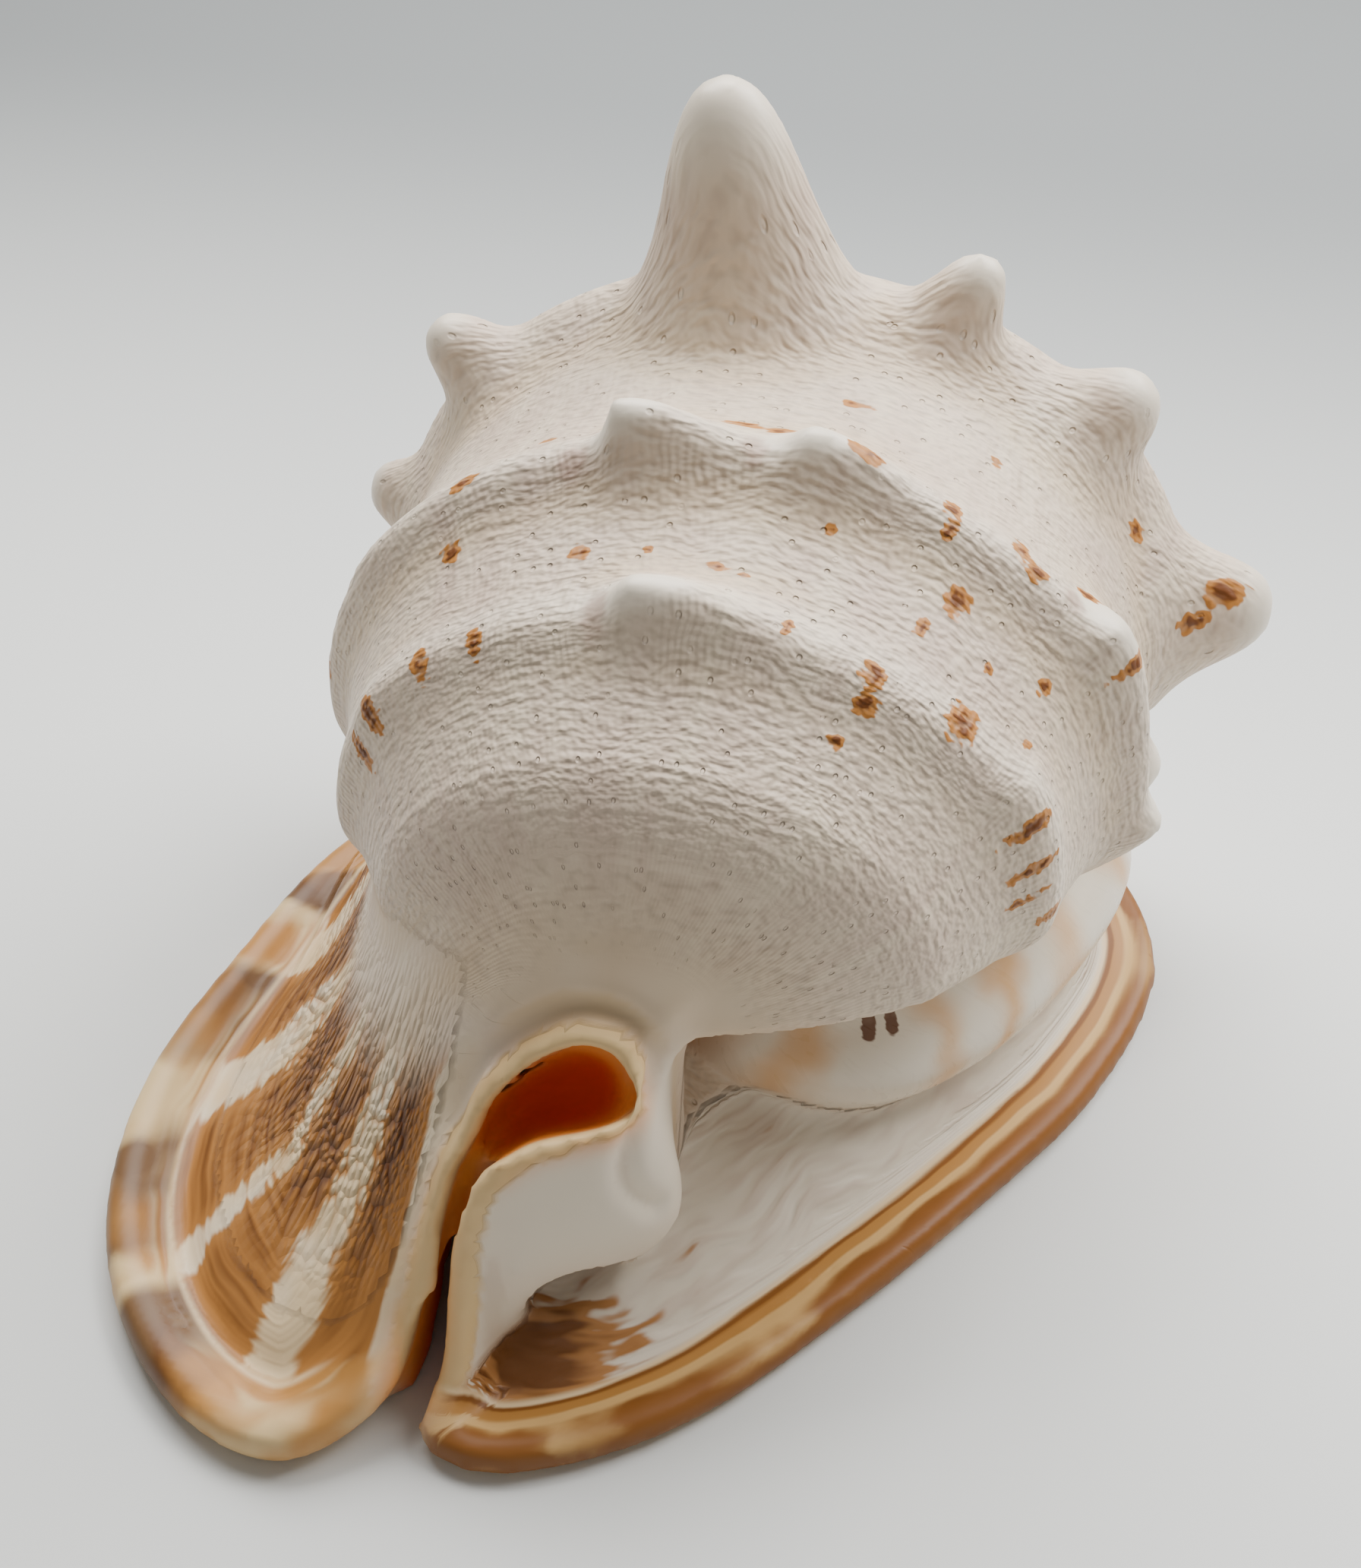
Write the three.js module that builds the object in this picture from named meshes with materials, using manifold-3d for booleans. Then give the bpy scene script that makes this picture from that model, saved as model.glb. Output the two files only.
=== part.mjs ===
// A horned helmet shell, the large sea shell often called a conch, lying on its aperture.
// It grew as one piece: a swollen last whorl with rows of knobs and horns, a low spire behind,
// a flared lip on the left, a flat shield on the right and, in front, a siphonal canal that
// turns up and opens as a narrow slot between the lip and the shield.
//
// Millimetres, +Z up. -Y is the siphonal (front) end, +Y the spire end, +X the shield side.
// The working frame has the coil axis at x = 0 and the floor at z = 0.
import * as THREE from "three";
import { ParametricGeometry } from "three/addons/geometries/ParametricGeometry.js";
import { mergeVertices } from "three/addons/utils/BufferGeometryUtils.js";
import Module from "manifold-3d";

const AXIS_HEIGHT = 82; // coil axis above the floor
const WHORL_FLATNESS = 0.89; // height of the whorl's upper half against its half width
const ROW_SKEW = 0.045; // how far the knob rows run back on the shield side, per mm of x

// The whorl's side line from the canal to the apex: place along the axis, radius.
const WHORL_PROFILE = [
  [-50, 0], [-47, 18], [-42, 33], [-35, 48], [-28, 58.5], [-20, 64], [-9, 71.5],
  [-3, 78.5], [1, 80.5], [8, 81.5], [20, 85], [29, 89], [34.5, 95], [38.6, 97],
  [46, 95], [65, 92], [88, 93.5], [97, 98], [105, 101], [111, 98], [117, 88],
  [122, 74], [130, 52], [139, 29], [146, 11], [149, 0],
];
// Height of the whorl's underside above the floor, by place along the axis.
const UNDERSIDE = [[-50, 81], [-28, 75], [-10, 53], [30, 39], [60, 29], [105, 14], [149, 70]];

const SHOULDER_Y = 105;
const SHOULDER_RADIUS = 101;
const SPIRE_GROWTH = 1.75; // radius gained with each turn of the spire
const SPIRE_STEP = 6; // height of the step at a suture, at the shoulder

// Horns on the shoulder: angle round the axis from +X, height, half width of the foot.
const HORNS = [
  [97, 49, 28], [69, 17, 12], [44, 13, 14], [7, 20, 20], [140, 15, 13], [170, 10, 12],
  [-28, 14, 15], [203, 9, 13],
];
const HORN_SINK = 8; // how deep a horn's foot lies in the whorl
const HORN_FRONT = 0.9; // a horn's half length against its half width, in front
const HORN_BACK = 0.35; // and behind, at its foot
// Knobs on the second and third rows: angle, place along the axis, height, half width, half length.
const KNOBS = [
  [101, 38, 12, 13, 8], [79, 39, 7, 14, 8], [33, 42, 6, 16, 9], [150, 35, 1, 16, 8],
  [92, 0, 8, 17, 7], [30, 3, 3, 18, 8], [150, -3, 2, 16, 8], [-2, 40, 5, 14, 9],
];

// The lip's edge from the back, round the left to the front, then up the slot to the far side
// of the canal's mouth, and the line on the whorl that the lip springs from.
const LIP_EDGE = [
  [-76, 98, 5], [-108, 52, 5], [-119, 8, 5], [-124, -32, 5], [-117, -67, 5], [-102, -91, 5],
  [-80, -108, 5], [-60, -112, 6], [-47, -106, 13], [-40, -97, 25], [-35, -87, 42],
  [-29, -75, 61], [-20, -64, 77], [-10, -58, 84], [0, -58, 83], [7, -62, 77],
  [14, -49, 90],
];
const LIP_ROOT = [
  [-72, 90, 60], [-89, 58, 66], [-80, 22, 78], [-70, -6, 88], [-62, -19, 97], [-53, -27, 104],
  [-45, -32, 107], [-37, -36, 108], [-31, -38, 109], [-26, -39, 111], [-20, -39, 115],
  [-13, -38, 117], [-6, -36, 121], [0, -34, 123], [8, -33, 123], [18, -32, 120],
  [36, -29, 114],
];
// The wall right of the slot and the near side of the mouth: its edge from the shield's front
// corner up and round to the whorl, and the line where it meets the shield.
const CANAL_EDGE = [
  [-29, -104, 4], [-26, -98, 25], [-23, -89, 48], [-23, -82, 57], [-20, -77, 64],
  [-11, -73, 68], [-1, -69, 71], [7, -63, 76], [12, -52, 81], [17, -34, 86],
];
const CANAL_FOOT = [
  [-24, -101, 1], [-20, -97, 5], [-17, -90, 9], [-16, -84, 14], [-13, -78, 20],
  [-6, -72, 27], [4, -66, 33], [13, -57, 40], [16, -44, 42], [17, -28, 42],
];
// The shield's edge from the front corner, round the right to the back, and its root.
const SHIELD_EDGE = [
  [-29, -102, 4], [-18, -104, 4], [4, -95, 4], [24, -79, 4], [46, -52, 4], [71, -16, 4],
  [96, 27, 4], [106, 68, 4], [95, 96, 4], [71, 115, 4], [40, 125, 5], [5, 128, 5],
  [-30, 123, 5], [-62, 108, 5], [-88, 86, 5],
];
const SHIELD_ROOT = [
  [-20, -92, 11], [-15, -88, 11], [-3, -70, 15], [6, -56, 19], [14, -22, 22], [40, -3, 22],
  [70, 32, 22], [82, 66, 24], [76, 86, 26], [57, 98, 28], [30, 104, 28], [0, 106, 28],
  [-30, 102, 28], [-55, 93, 30], [-75, 80, 34],
];
// The callus that fills the underside between the shield and the aperture.
const CALLUS_ROOT = [
  [-24, -82, 14], [-22, -76, 18], [-20, -66, 30], [-18, -50, 42], [-22, -20, 52], [-26, 0, 52],
  [-28, 30, 50], [-28, 50, 50], [-28, 65, 48], [-28, 75, 46], [-28, 82, 44], [-30, 88, 42],
  [-34, 92, 40], [-42, 90, 40], [-54, 82, 42],
];
const CANAL_WALL = 4.5; // thickness of the walls round the canal
const BELOW_FLOOR = 3; // how far the flanges are drawn below the floor before the base is cut flat
const LIP_ROLL = 5.5; // radii of the rolled edges
const CANAL_ROLL = 2.4;
const SHIELD_ROLL = 4.5;

// The ridge left by an earlier lip, under the whorl on the shield side.
const VARIX_LINE = [
  [2, 6, 44], [20, 0, 34], [42, 3, 31], [61, 20, 31], [77, 50, 30], [84, 80, 30], [74, 102, 32], [50, 106, 36],
];
const VARIX_RADIUS = 15;

// The aperture along the underside: x, y, half width and height of the slot at each station.
const APERTURE = [
  [-38, -125, 2.5, 20], [-36, -100, 2.5, 40], [-32, -76, 4, 52], [-36, -40, 8, 66],
  [-38, 10, 10, 66], [-38, 55, 9, 58], [-36, 88, 5, 30],
];
const APERTURE_LEFT = -47; // inner edge of the lip's underside
// The chamber of the last whorl above it: angles, radius of its middle, half sizes.
const CHAMBER = { from: 232, to: 105, radius: 58, halfDepth: 22, middleY: 34, halfLength: 55 };

const FACET_TOLERANCE = 0.35; // how far a facet may lie from the drawn surface
const SHELL_COLOUR = 0xe9dfd3;

const wasm = await Module();
wasm.setup();

const radians = THREE.MathUtils.degToRad;
const smooth = THREE.MathUtils.smoothstep;
const vector = (p) => new THREE.Vector3(p[0], p[1], p[2]);
const curveThrough = (points) => new THREE.CatmullRomCurve3(points.map(vector), false, "centripetal");

// The value at a place in a list of (place, value) pairs, eased between neighbours.
function along(pairs, place) {
  const next = pairs.findIndex((pair) => pair[0] > place);
  if (next === 0) return pairs[0][1];
  if (next < 0) return pairs[pairs.length - 1][1];
  const [from, to] = [pairs[next - 1], pairs[next]];
  return THREE.MathUtils.lerp(from[1], to[1], smooth(place, from[0], to[0]));
}

// A three.js geometry as a closed solid that faces out.
function solidOf(geometry) {
  geometry.deleteAttribute("normal");
  geometry.deleteAttribute("uv");
  const merged = mergeVertices(geometry, 1e-3);
  const corners = [];
  for (let i = 0; i < merged.index.count; i += 3) {
    const [a, b, c] = [0, 1, 2].map((k) => merged.index.getX(i + k));
    if (a !== b && b !== c && c !== a) corners.push(a, b, c);
  }
  const build = (triVerts) => {
    const vertProperties = merged.attributes.position.array;
    const mesh = new wasm.Mesh({ numProp: 3, vertProperties, triVerts: Uint32Array.from(triVerts) });
    return new wasm.Manifold(mesh);
  };
  const made = build(corners);
  return made.volume() > 0 ? made : build(corners.reverse());
}

// A closed solid through rings. ringPoint(u, v) goes along with u and round with v, and the
// first and last rings close on their own middles.
function loft(ringPoint, rings, sides) {
  const middle = (u) => {
    const sum = new THREE.Vector3();
    for (let i = 0; i < sides; i++) sum.add(ringPoint(u, i / sides));
    return sum.divideScalar(sides);
  };
  const ends = [middle(0), middle(1)];
  const steps = rings + 1;
  const place = (v, u, target) => {
    const step = Math.round(u * steps);
    if (step === 0) return target.copy(ends[0]);
    if (step === steps) return target.copy(ends[1]);
    return target.copy(ringPoint((step - 1) / (rings - 1), v > 0.9999 ? 0 : v));
  };
  return solidOf(new ParametricGeometry(place, sides, steps));
}

// The point of the whorl at a share of its side line and an angle, swollen by the knobs.
const sideLine = new THREE.SplineCurve(WHORL_PROFILE.map((p) => new THREE.Vector2(p[0], p[1])));
function whorlPoint(share, degrees) {
  const side = sideLine.getPoint(share);
  const plain = Math.max(0, side.y);
  let radius = plain;
  for (const [angle, at, height, halfWidth, halfLength] of KNOBS) {
    const turn = THREE.MathUtils.euclideanModulo(degrees - angle + 180, 360) - 180;
    const across = (radians(turn) * plain) / halfWidth;
    const lengthways = (side.x - at) / halfLength;
    radius += height * Math.exp(-across * across - lengthways * lengthways);
  }
  if (plain < 1) radius = plain;
  let y = side.x;
  if (y > SHOULDER_Y && plain > 1) {
    const ratio = plain / SHOULDER_RADIUS;
    const turns = THREE.MathUtils.euclideanModulo(Math.log(ratio) / Math.log(SPIRE_GROWTH) - degrees / 360, 1);
    const rise = turns < 0.7 ? turns / 0.7 : (1 - turns) / 0.3;
    y += SPIRE_STEP * (rise - 0.5) * smooth(y, SHOULDER_Y, SHOULDER_Y + 12) * Math.sqrt(ratio);
  }
  const c = Math.cos(radians(degrees));
  const s = Math.sin(radians(degrees));
  const below = (AXIS_HEIGHT - along(UNDERSIDE, side.x)) / Math.max(plain, 1);
  const flatness = s > 0 ? WHORL_FLATNESS : Math.min(WHORL_FLATNESS, below);
  return new THREE.Vector3(radius * c, y + ROW_SKEW * radius * c, AXIS_HEIGHT + radius * s * flatness);
}

function makeWhorl(stations, sides) {
  const place = (v, u, target) => target.copy(whorlPoint(u, v > 0.9999 ? 0 : v * 360));
  return solidOf(new ParametricGeometry(place, sides, stations));
}

// A horn narrows from a flared foot deep in the whorl to a rounded tip.
function makeHorn([degrees, height, halfWidth]) {
  const c = Math.cos(radians(degrees));
  const s = Math.sin(radians(degrees));
  const out = new THREE.Vector3(c, 0, s * WHORL_FLATNESS);
  const across = new THREE.Vector3(-s, 0, c);
  const back = new THREE.Vector3(0, 1, 0);
  const ring = (u, v) => {
    const rise = THREE.MathUtils.lerp(-HORN_SINK, height, Math.sin((u * Math.PI) / 2));
    const share = Math.max(0, rise / height);
    const spike = 0.5 * Math.sqrt(1 - 0.98 * share ** 3);
    const flare = 0.5 * Math.exp((-2.6 * rise) / (height + 10));
    const wide = halfWidth * (spike + flare);
    const angle = v * 2 * Math.PI;
    const p = new THREE.Vector3(0, SHOULDER_Y - 1, AXIS_HEIGHT).addScaledVector(out, SHOULDER_RADIUS + rise);
    p.y += ROW_SKEW * p.x;
    p.addScaledVector(across, wide * Math.cos(angle));
    const depth = Math.sin(angle) > 0 ? THREE.MathUtils.lerp(HORN_BACK, HORN_FRONT, share) : HORN_FRONT;
    return p.addScaledVector(back, depth * wide * Math.sin(angle));
  };
  return loft(ring, 9, 14);
}

// The way through the canal's wall: to the left along the slot and at its right end, back between.
function wallAcross(u) {
  const turn = radians(12 + 62 * (smooth(u, 0.28, 0.55) - smooth(u, 0.62, 0.85)));
  return new THREE.Vector3(-Math.cos(turn), Math.sin(turn), 0);
}

// A sheet that runs from an edge to a root line. Where it is lying it leaves the edge flat
// and climbs steeply to the root. under(p, u, v) is the point of its other side below p.
function makeSheet(edgePoints, rootPoints, under, { lyingAt, swell = 0, rings, steps }) {
  const edge = curveThrough(edgePoints);
  const root = curveThrough(rootPoints);
  const top = (u, v) => {
    const a = edge.getPoint(u);
    const b = root.getPoint(u);
    const span = b.clone().sub(a);
    const lying = lyingAt(u);
    const leave = span.clone().lerp(new THREE.Vector3(span.x * 1.5, span.y * 1.5, 0), lying);
    const reach = span.clone().lerp(new THREE.Vector3(0, 0, span.z * 1.8), lying);
    return new THREE.Vector3()
      .addScaledVector(a, (1 + 2 * v) * (1 - v) ** 2)
      .addScaledVector(leave, v * (1 - v) ** 2)
      .addScaledVector(b, v * v * (3 - 2 * v))
      .addScaledVector(reach, v * v * (v - 1))
      .addScaledVector(wallAcross(u), -swell * Math.sin(v * Math.PI) * smooth(u, 0.25, 0.55));
  };
  const ring = (u, v) => {
    const station = Math.round(v * 2 * steps) % (2 * steps);
    if (station < steps) return top(u, station / (steps - 1));
    const v0 = (2 * steps - 1 - station) / (steps - 1);
    return under(top(u, v0), u, v0);
  };
  return loft(ring, rings, 2 * steps);
}

// A rolled edge: a tube along a line.
function makeRoll(points, radiusAt, rings, sides) {
  const line = curveThrough(points);
  const ring = (u, v) => {
    const ahead = line.getTangent(u);
    const radius = radiusAt(line.getPoint(u));
    const side = new THREE.Vector3(ahead.y, -ahead.x, 0).normalize();
    const lift = side.clone().cross(ahead);
    const angle = v * 2 * Math.PI;
    const p = line.getPoint(u).addScaledVector(side, radius * Math.cos(angle));
    return p.addScaledVector(lift, radius * Math.sin(angle));
  };
  return loft(ring, rings, sides);
}

const lipLying = (u) => 1 - smooth(u, 0.15, 0.6);

// The lip is solid to the floor, and thins to a wall where it rises round the canal.
const lipUnder = (p, u, v) => {
  const rising = smooth(u, 0.44, 0.56);
  const depth = THREE.MathUtils.lerp(p.z + BELOW_FLOOR, 3.2 * CANAL_WALL, rising);
  const inward = (1 - smooth(u, 0.28, 0.42)) * v * v * v;
  return new THREE.Vector3(THREE.MathUtils.lerp(p.x, APERTURE_LEFT, inward), p.y, p.z - depth);
};
const shieldUnder = (p) => new THREE.Vector3(p.x, p.y, -BELOW_FLOOR);
const callusUnder = (p) => new THREE.Vector3(p.x, p.y, -1.5 * BELOW_FLOOR);
const canalUnder = (p, u) => p.clone().addScaledVector(wallAcross(u), CANAL_WALL);

// The slot of the aperture: a tall rounded section carried along the underside.
function makeAperture() {
  const line = curveThrough(APERTURE.map(([x, y]) => [x, y, 0]));
  const sizes = curveThrough(APERTURE.map(([, , half, top]) => [half, top, 0]));
  const ring = (u, v) => {
    const p = line.getPoint(u);
    const { x: half, y: top } = sizes.getPoint(u);
    const angle = v * 2 * Math.PI;
    const z = Math.sin(angle) > 0 ? top * Math.sin(angle) : 6 * Math.sin(angle);
    return new THREE.Vector3(p.x + half * Math.cos(angle), p.y, z);
  };
  return loft(ring, 16, 12);
}

// The chamber: an oval section turned about the coil axis, narrowing inward.
function makeChamber() {
  const { from, to, radius, halfDepth, middleY, halfLength } = CHAMBER;
  const ring = (u, v) => {
    const turn = radians(THREE.MathUtils.lerp(from, to, u));
    const size = 1 - 0.65 * u * u;
    const angle = v * 2 * Math.PI;
    const r = radius + size * halfDepth * Math.cos(angle);
    const y = middleY + size * halfLength * Math.sin(angle);
    const flat = Math.sin(turn) > 0 ? WHORL_FLATNESS : 0.62;
    return new THREE.Vector3(r * Math.cos(turn), y, AXIS_HEIGHT + r * Math.sin(turn) * flat);
  };
  return loft(ring, 10, 16);
}

const lip = makeSheet(LIP_EDGE, LIP_ROOT, lipUnder, { lyingAt: lipLying, rings: 36, steps: 8 });
const canal = makeSheet(CANAL_EDGE, CANAL_FOOT, canalUnder, { lyingAt: () => 0, swell: 5, rings: 20, steps: 5 });
const shield = makeSheet(SHIELD_EDGE, SHIELD_ROOT, shieldUnder, { lyingAt: () => 0.3, rings: 30, steps: 5 });
const callusEdge = SHIELD_ROOT.map((p, i) => {
  const inside = vector(p).lerp(vector(SHIELD_EDGE[i]), 0.25);
  return [inside.x, inside.y, 0.6 * inside.z];
});
const callus = makeSheet(callusEdge, CALLUS_ROOT, callusUnder, { lyingAt: () => 0, rings: 30, steps: 3 });
// The grown edges are worn flat where the shell rests.
const floor = solidOf(new THREE.BoxGeometry(400, 400, 40).translate(0, 0, -20));
const varix = makeRoll(VARIX_LINE, () => VARIX_RADIUS, 14, 12);
const lipRoll = (p) => THREE.MathUtils.lerp(LIP_ROLL, CANAL_ROLL, smooth(p.z, 6, 30));

let shell = makeWhorl(42, 72);
for (const horn of HORNS) shell = shell.add(makeHorn(horn));
for (const part of [lip, canal, shield, callus, varix]) shell = shell.add(part);
shell = shell.add(makeRoll(LIP_EDGE.slice(0, -1), lipRoll, 38, 8));
shell = shell.add(makeRoll(SHIELD_EDGE, () => SHIELD_ROLL, 30, 8));
shell = shell.add(makeRoll(CANAL_EDGE, () => CANAL_ROLL, 20, 6));
shell = shell.subtract(makeAperture()).subtract(makeChamber()).subtract(floor);
shell = shell.asOriginal().simplify(FACET_TOLERANCE);
// Slivers that the cuts leave behind are dropped: the shell is the largest body.
shell = shell.decompose().reduce((best, body) => (body.volume() > best.volume() ? body : best));

const { vertProperties, triVerts } = shell.getMesh();
const geometry = new THREE.BufferGeometry();
geometry.setAttribute("position", new THREE.BufferAttribute(vertProperties, 3));
geometry.setIndex(new THREE.BufferAttribute(triVerts, 1));
geometry.computeBoundingBox();

// The finished part stands with the middle of its footprint at the origin.
const middle = geometry.boundingBox.getCenter(new THREE.Vector3());
geometry.computeVertexNormals();
const material = new THREE.MeshStandardMaterial({ color: SHELL_COLOUR, roughness: 0.5, metalness: 0 });
const mesh = new THREE.Mesh(geometry, material);
mesh.name = "shell";
mesh.position.set(-middle.x, -middle.y, -geometry.boundingBox.min.z);

const group = new THREE.Group();
group.add(mesh);
export default group;
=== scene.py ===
"""Dresses a horned helmet shell that lies on its aperture.

The shell grew as one piece. Its last whorl, horns, lip, canal, shield and callus are drawn from
the same measured lines as the solid part, in millimetres about the coil axis, then grown together
into one closed skin and moved into the frame in metres.
"""

import logging
import math
from dataclasses import dataclass, field
from enum import Enum
from typing import Callable, Sequence, Union

import bmesh
import bpy
import numpy as np
from mathutils import Matrix, Vector, noise
from mathutils.kdtree import KDTree

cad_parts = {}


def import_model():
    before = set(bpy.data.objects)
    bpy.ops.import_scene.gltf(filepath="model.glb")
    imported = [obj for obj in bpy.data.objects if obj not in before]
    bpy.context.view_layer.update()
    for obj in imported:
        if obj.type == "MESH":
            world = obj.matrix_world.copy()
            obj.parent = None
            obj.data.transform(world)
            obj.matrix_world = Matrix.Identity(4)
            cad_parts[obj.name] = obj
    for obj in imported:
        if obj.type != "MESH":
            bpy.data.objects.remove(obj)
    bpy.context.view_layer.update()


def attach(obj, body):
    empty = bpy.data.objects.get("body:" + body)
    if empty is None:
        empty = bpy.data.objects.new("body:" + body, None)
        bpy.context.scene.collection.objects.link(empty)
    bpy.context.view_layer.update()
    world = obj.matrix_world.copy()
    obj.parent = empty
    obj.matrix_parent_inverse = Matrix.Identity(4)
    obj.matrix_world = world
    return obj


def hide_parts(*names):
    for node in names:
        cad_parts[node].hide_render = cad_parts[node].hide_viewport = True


LOG = logging.getLogger("shell")

Triple = tuple[float, float, float]
Colour = tuple[int, int, int]
Array = np.ndarray
RingPoint = Callable[[Array, Array], Array]

MM = 0.001
AXIS_HEIGHT = 82.0
ROW_SKEW = 0.045
WHORL_FLATNESS = 0.89
TO_FRAME = (4.493, -15.695, 0.0)  # from the coil axis to the middle of the footprint


def ease(value: Array, start: float, end: float) -> Array:
    """A smooth step from 0 at start to 1 at end.

    Args:
        value: Numbers to step.
        start: Where the step begins.
        end: Where it is complete.

    Returns:
        Shares from 0 to 1, of the shape of value.
    """
    share = np.clip((np.asarray(value, dtype=float) - start) / (end - start), 0.0, 1.0)
    return share * share * (3.0 - 2.0 * share)


def hump(value: Array, middle: float, half: float) -> Array:
    """1 at the middle, falling smoothly to 0 half a width away."""
    return 1.0 - ease(np.abs(value - middle), 0.0, half)


def between(first: Array, second: Array, share: Array) -> Array:
    """The point or number that lies at a share of the way from first to second."""
    return first + (second - first) * share


def columns(*parts: Array) -> Array:
    """Stacks coordinates of equal length as points, one to a row."""
    return np.stack(np.broadcast_arrays(*parts), axis=-1)


@dataclass(frozen=True)
class GrowthLine:
    """A smooth line through measured points, in millimetres about the coil axis."""

    points: tuple[Triple, ...]

    def at(self, share: Array) -> Array:
        """Points on the line.

        Args:
            share: Places along it, from 0 to 1, counted in points.

        Returns:
            One point to a row.
        """
        given = np.array(self.points, dtype=float)
        padded = np.vstack([2 * given[0] - given[1], given, 2 * given[-1] - given[-2]])
        place = np.clip(np.asarray(share, dtype=float), 0.0, 1.0) * (len(given) - 1)
        span = np.minimum(place.astype(int), len(given) - 2)
        local = (place - span)[..., None]
        p0, p1, p2, p3 = (padded[span + step] for step in range(4))
        d0, d1, d2 = (
            np.sqrt(np.linalg.norm(b - a, axis=-1, keepdims=True))
            for a, b in ((p0, p1), (p1, p2), (p2, p3))
        )
        leave = ((p1 - p0) / d0 - (p2 - p0) / (d0 + d1) + (p2 - p1) / d1) * d1
        reach = ((p2 - p1) / d1 - (p3 - p1) / (d1 + d2) + (p3 - p2) / d2) * d1
        return (
            p1
            + leave * local
            + (3 * (p2 - p1) - 2 * leave - reach) * local**2
            + (2 * (p1 - p2) + leave + reach) * local**3
        )

    def ahead(self, share: Array) -> Array:
        """Unit directions along the line at the given shares."""
        step = self.at(np.asarray(share) + 1e-4) - self.at(np.asarray(share) - 1e-4)
        return step / np.linalg.norm(step, axis=-1, keepdims=True)


class Form:
    """Closed forms made from grids and grown together in one mesh."""

    def __init__(self) -> None:
        """Starts with nothing."""
        self.grown = bmesh.new()

    def add_rings(self, ring_point: RingPoint, rings: int, sides: int) -> None:
        """Adds a closed form whose rings are bent from a flat grid.

        Args:
            ring_point: Gives points for shares along the form and round it.
            rings: Steps along the form.
            sides: Steps round it.
        """
        form = bmesh.new()
        bmesh.ops.create_grid(form, x_segments=rings, y_segments=sides, size=0.5)
        flat = np.array([vert.co[:] for vert in form.verts]) + 0.5
        along = np.clip(flat[:, 0], 0.0, 1.0)
        round_it = np.where(flat[:, 1] > 0.99999, 0.0, np.clip(flat[:, 1], 0.0, 1.0))
        for vert, place in zip(form.verts, ring_point(along, round_it)):
            vert.co = place
        bmesh.ops.remove_doubles(form, verts=form.verts, dist=1e-3)
        bmesh.ops.dissolve_degenerate(form, edges=form.edges, dist=1e-4)
        open_edges = [edge for edge in form.edges if edge.is_boundary]
        bmesh.ops.holes_fill(form, edges=open_edges, sides=0)
        self.take(form)

    def add_ball(self, centre: Triple, radii: Triple, turn: float = 0.0) -> None:
        """Adds a rounded knob.

        Args:
            centre: Its middle.
            radii: Its half sizes.
            turn: Its turn about the upright through its middle, in radians.
        """
        form = bmesh.new()
        bmesh.ops.create_uvsphere(form, u_segments=20, v_segments=12, radius=1.0)
        bmesh.ops.scale(form, verts=form.verts, vec=Vector(radii))
        bmesh.ops.rotate(form, verts=form.verts, cent=Vector(), matrix=Matrix.Rotation(turn, 3, "Z"))
        bmesh.ops.translate(form, verts=form.verts, vec=Vector(centre))
        self.take(form)

    def add_block(self, low: Triple, high: Triple) -> None:
        """Adds a box between two corners.

        Args:
            low: Its lowest corner.
            high: Its highest corner.
        """
        form = bmesh.new()
        bmesh.ops.create_cube(form, size=1.0)
        bmesh.ops.scale(form, verts=form.verts, vec=Vector(high) - Vector(low))
        bmesh.ops.translate(form, verts=form.verts, vec=(Vector(high) + Vector(low)) / 2)
        self.take(form)

    def take(self, form: bmesh.types.BMesh) -> None:
        """Turns a closed form outwards and joins it to the others.

        Args:
            form: The closed form, which is given up.
        """
        bmesh.ops.recalc_face_normals(form, faces=form.faces)
        carrier = bpy.data.meshes.new("carrier")
        form.to_mesh(carrier)
        form.free()
        self.grown.from_mesh(carrier)
        bpy.data.meshes.remove(carrier)

    def mesh(self, name: str) -> bpy.types.Mesh:
        """The joined forms as a mesh of that name.

        Args:
            name: The name of the mesh.

        Returns:
            The mesh.
        """
        made = bpy.data.meshes.new(name)
        self.grown.to_mesh(made)
        self.grown.free()
        return made


def shaped(mesh: bpy.types.Mesh, kind: str, settings: dict[str, object]) -> bpy.types.Mesh:
    """A mesh as one modifier leaves it.

    Args:
        mesh: The mesh to start from, which is given up.
        kind: The modifier's type.
        settings: The modifier's values.

    Returns:
        The new mesh.
    """
    holder = bpy.data.objects.new("holder", mesh)
    bpy.context.scene.collection.objects.link(holder)
    modifier = holder.modifiers.new("shape", kind)
    for name, value in settings.items():
        setattr(modifier, name, value)
    graph = bpy.context.evaluated_depsgraph_get()
    made = bpy.data.meshes.new_from_object(holder.evaluated_get(graph), depsgraph=graph)
    bpy.data.objects.remove(holder)
    bpy.data.meshes.remove(mesh)
    return made


def cut_away(mesh: bpy.types.Mesh, cutter: bpy.types.Mesh) -> bpy.types.Mesh:
    """A mesh less the space that another takes up; both are given up.

    Args:
        mesh: The mesh to cut.
        cutter: The space to take out of it.

    Returns:
        The cut mesh.
    """
    tool = bpy.data.objects.new("tool", cutter)
    bpy.context.scene.collection.objects.link(tool)
    made = shaped(mesh, "BOOLEAN", {"operation": "DIFFERENCE", "solver": "MANIFOLD", "object": tool})
    bpy.data.objects.remove(tool)
    bpy.data.meshes.remove(cutter)
    return made


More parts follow.
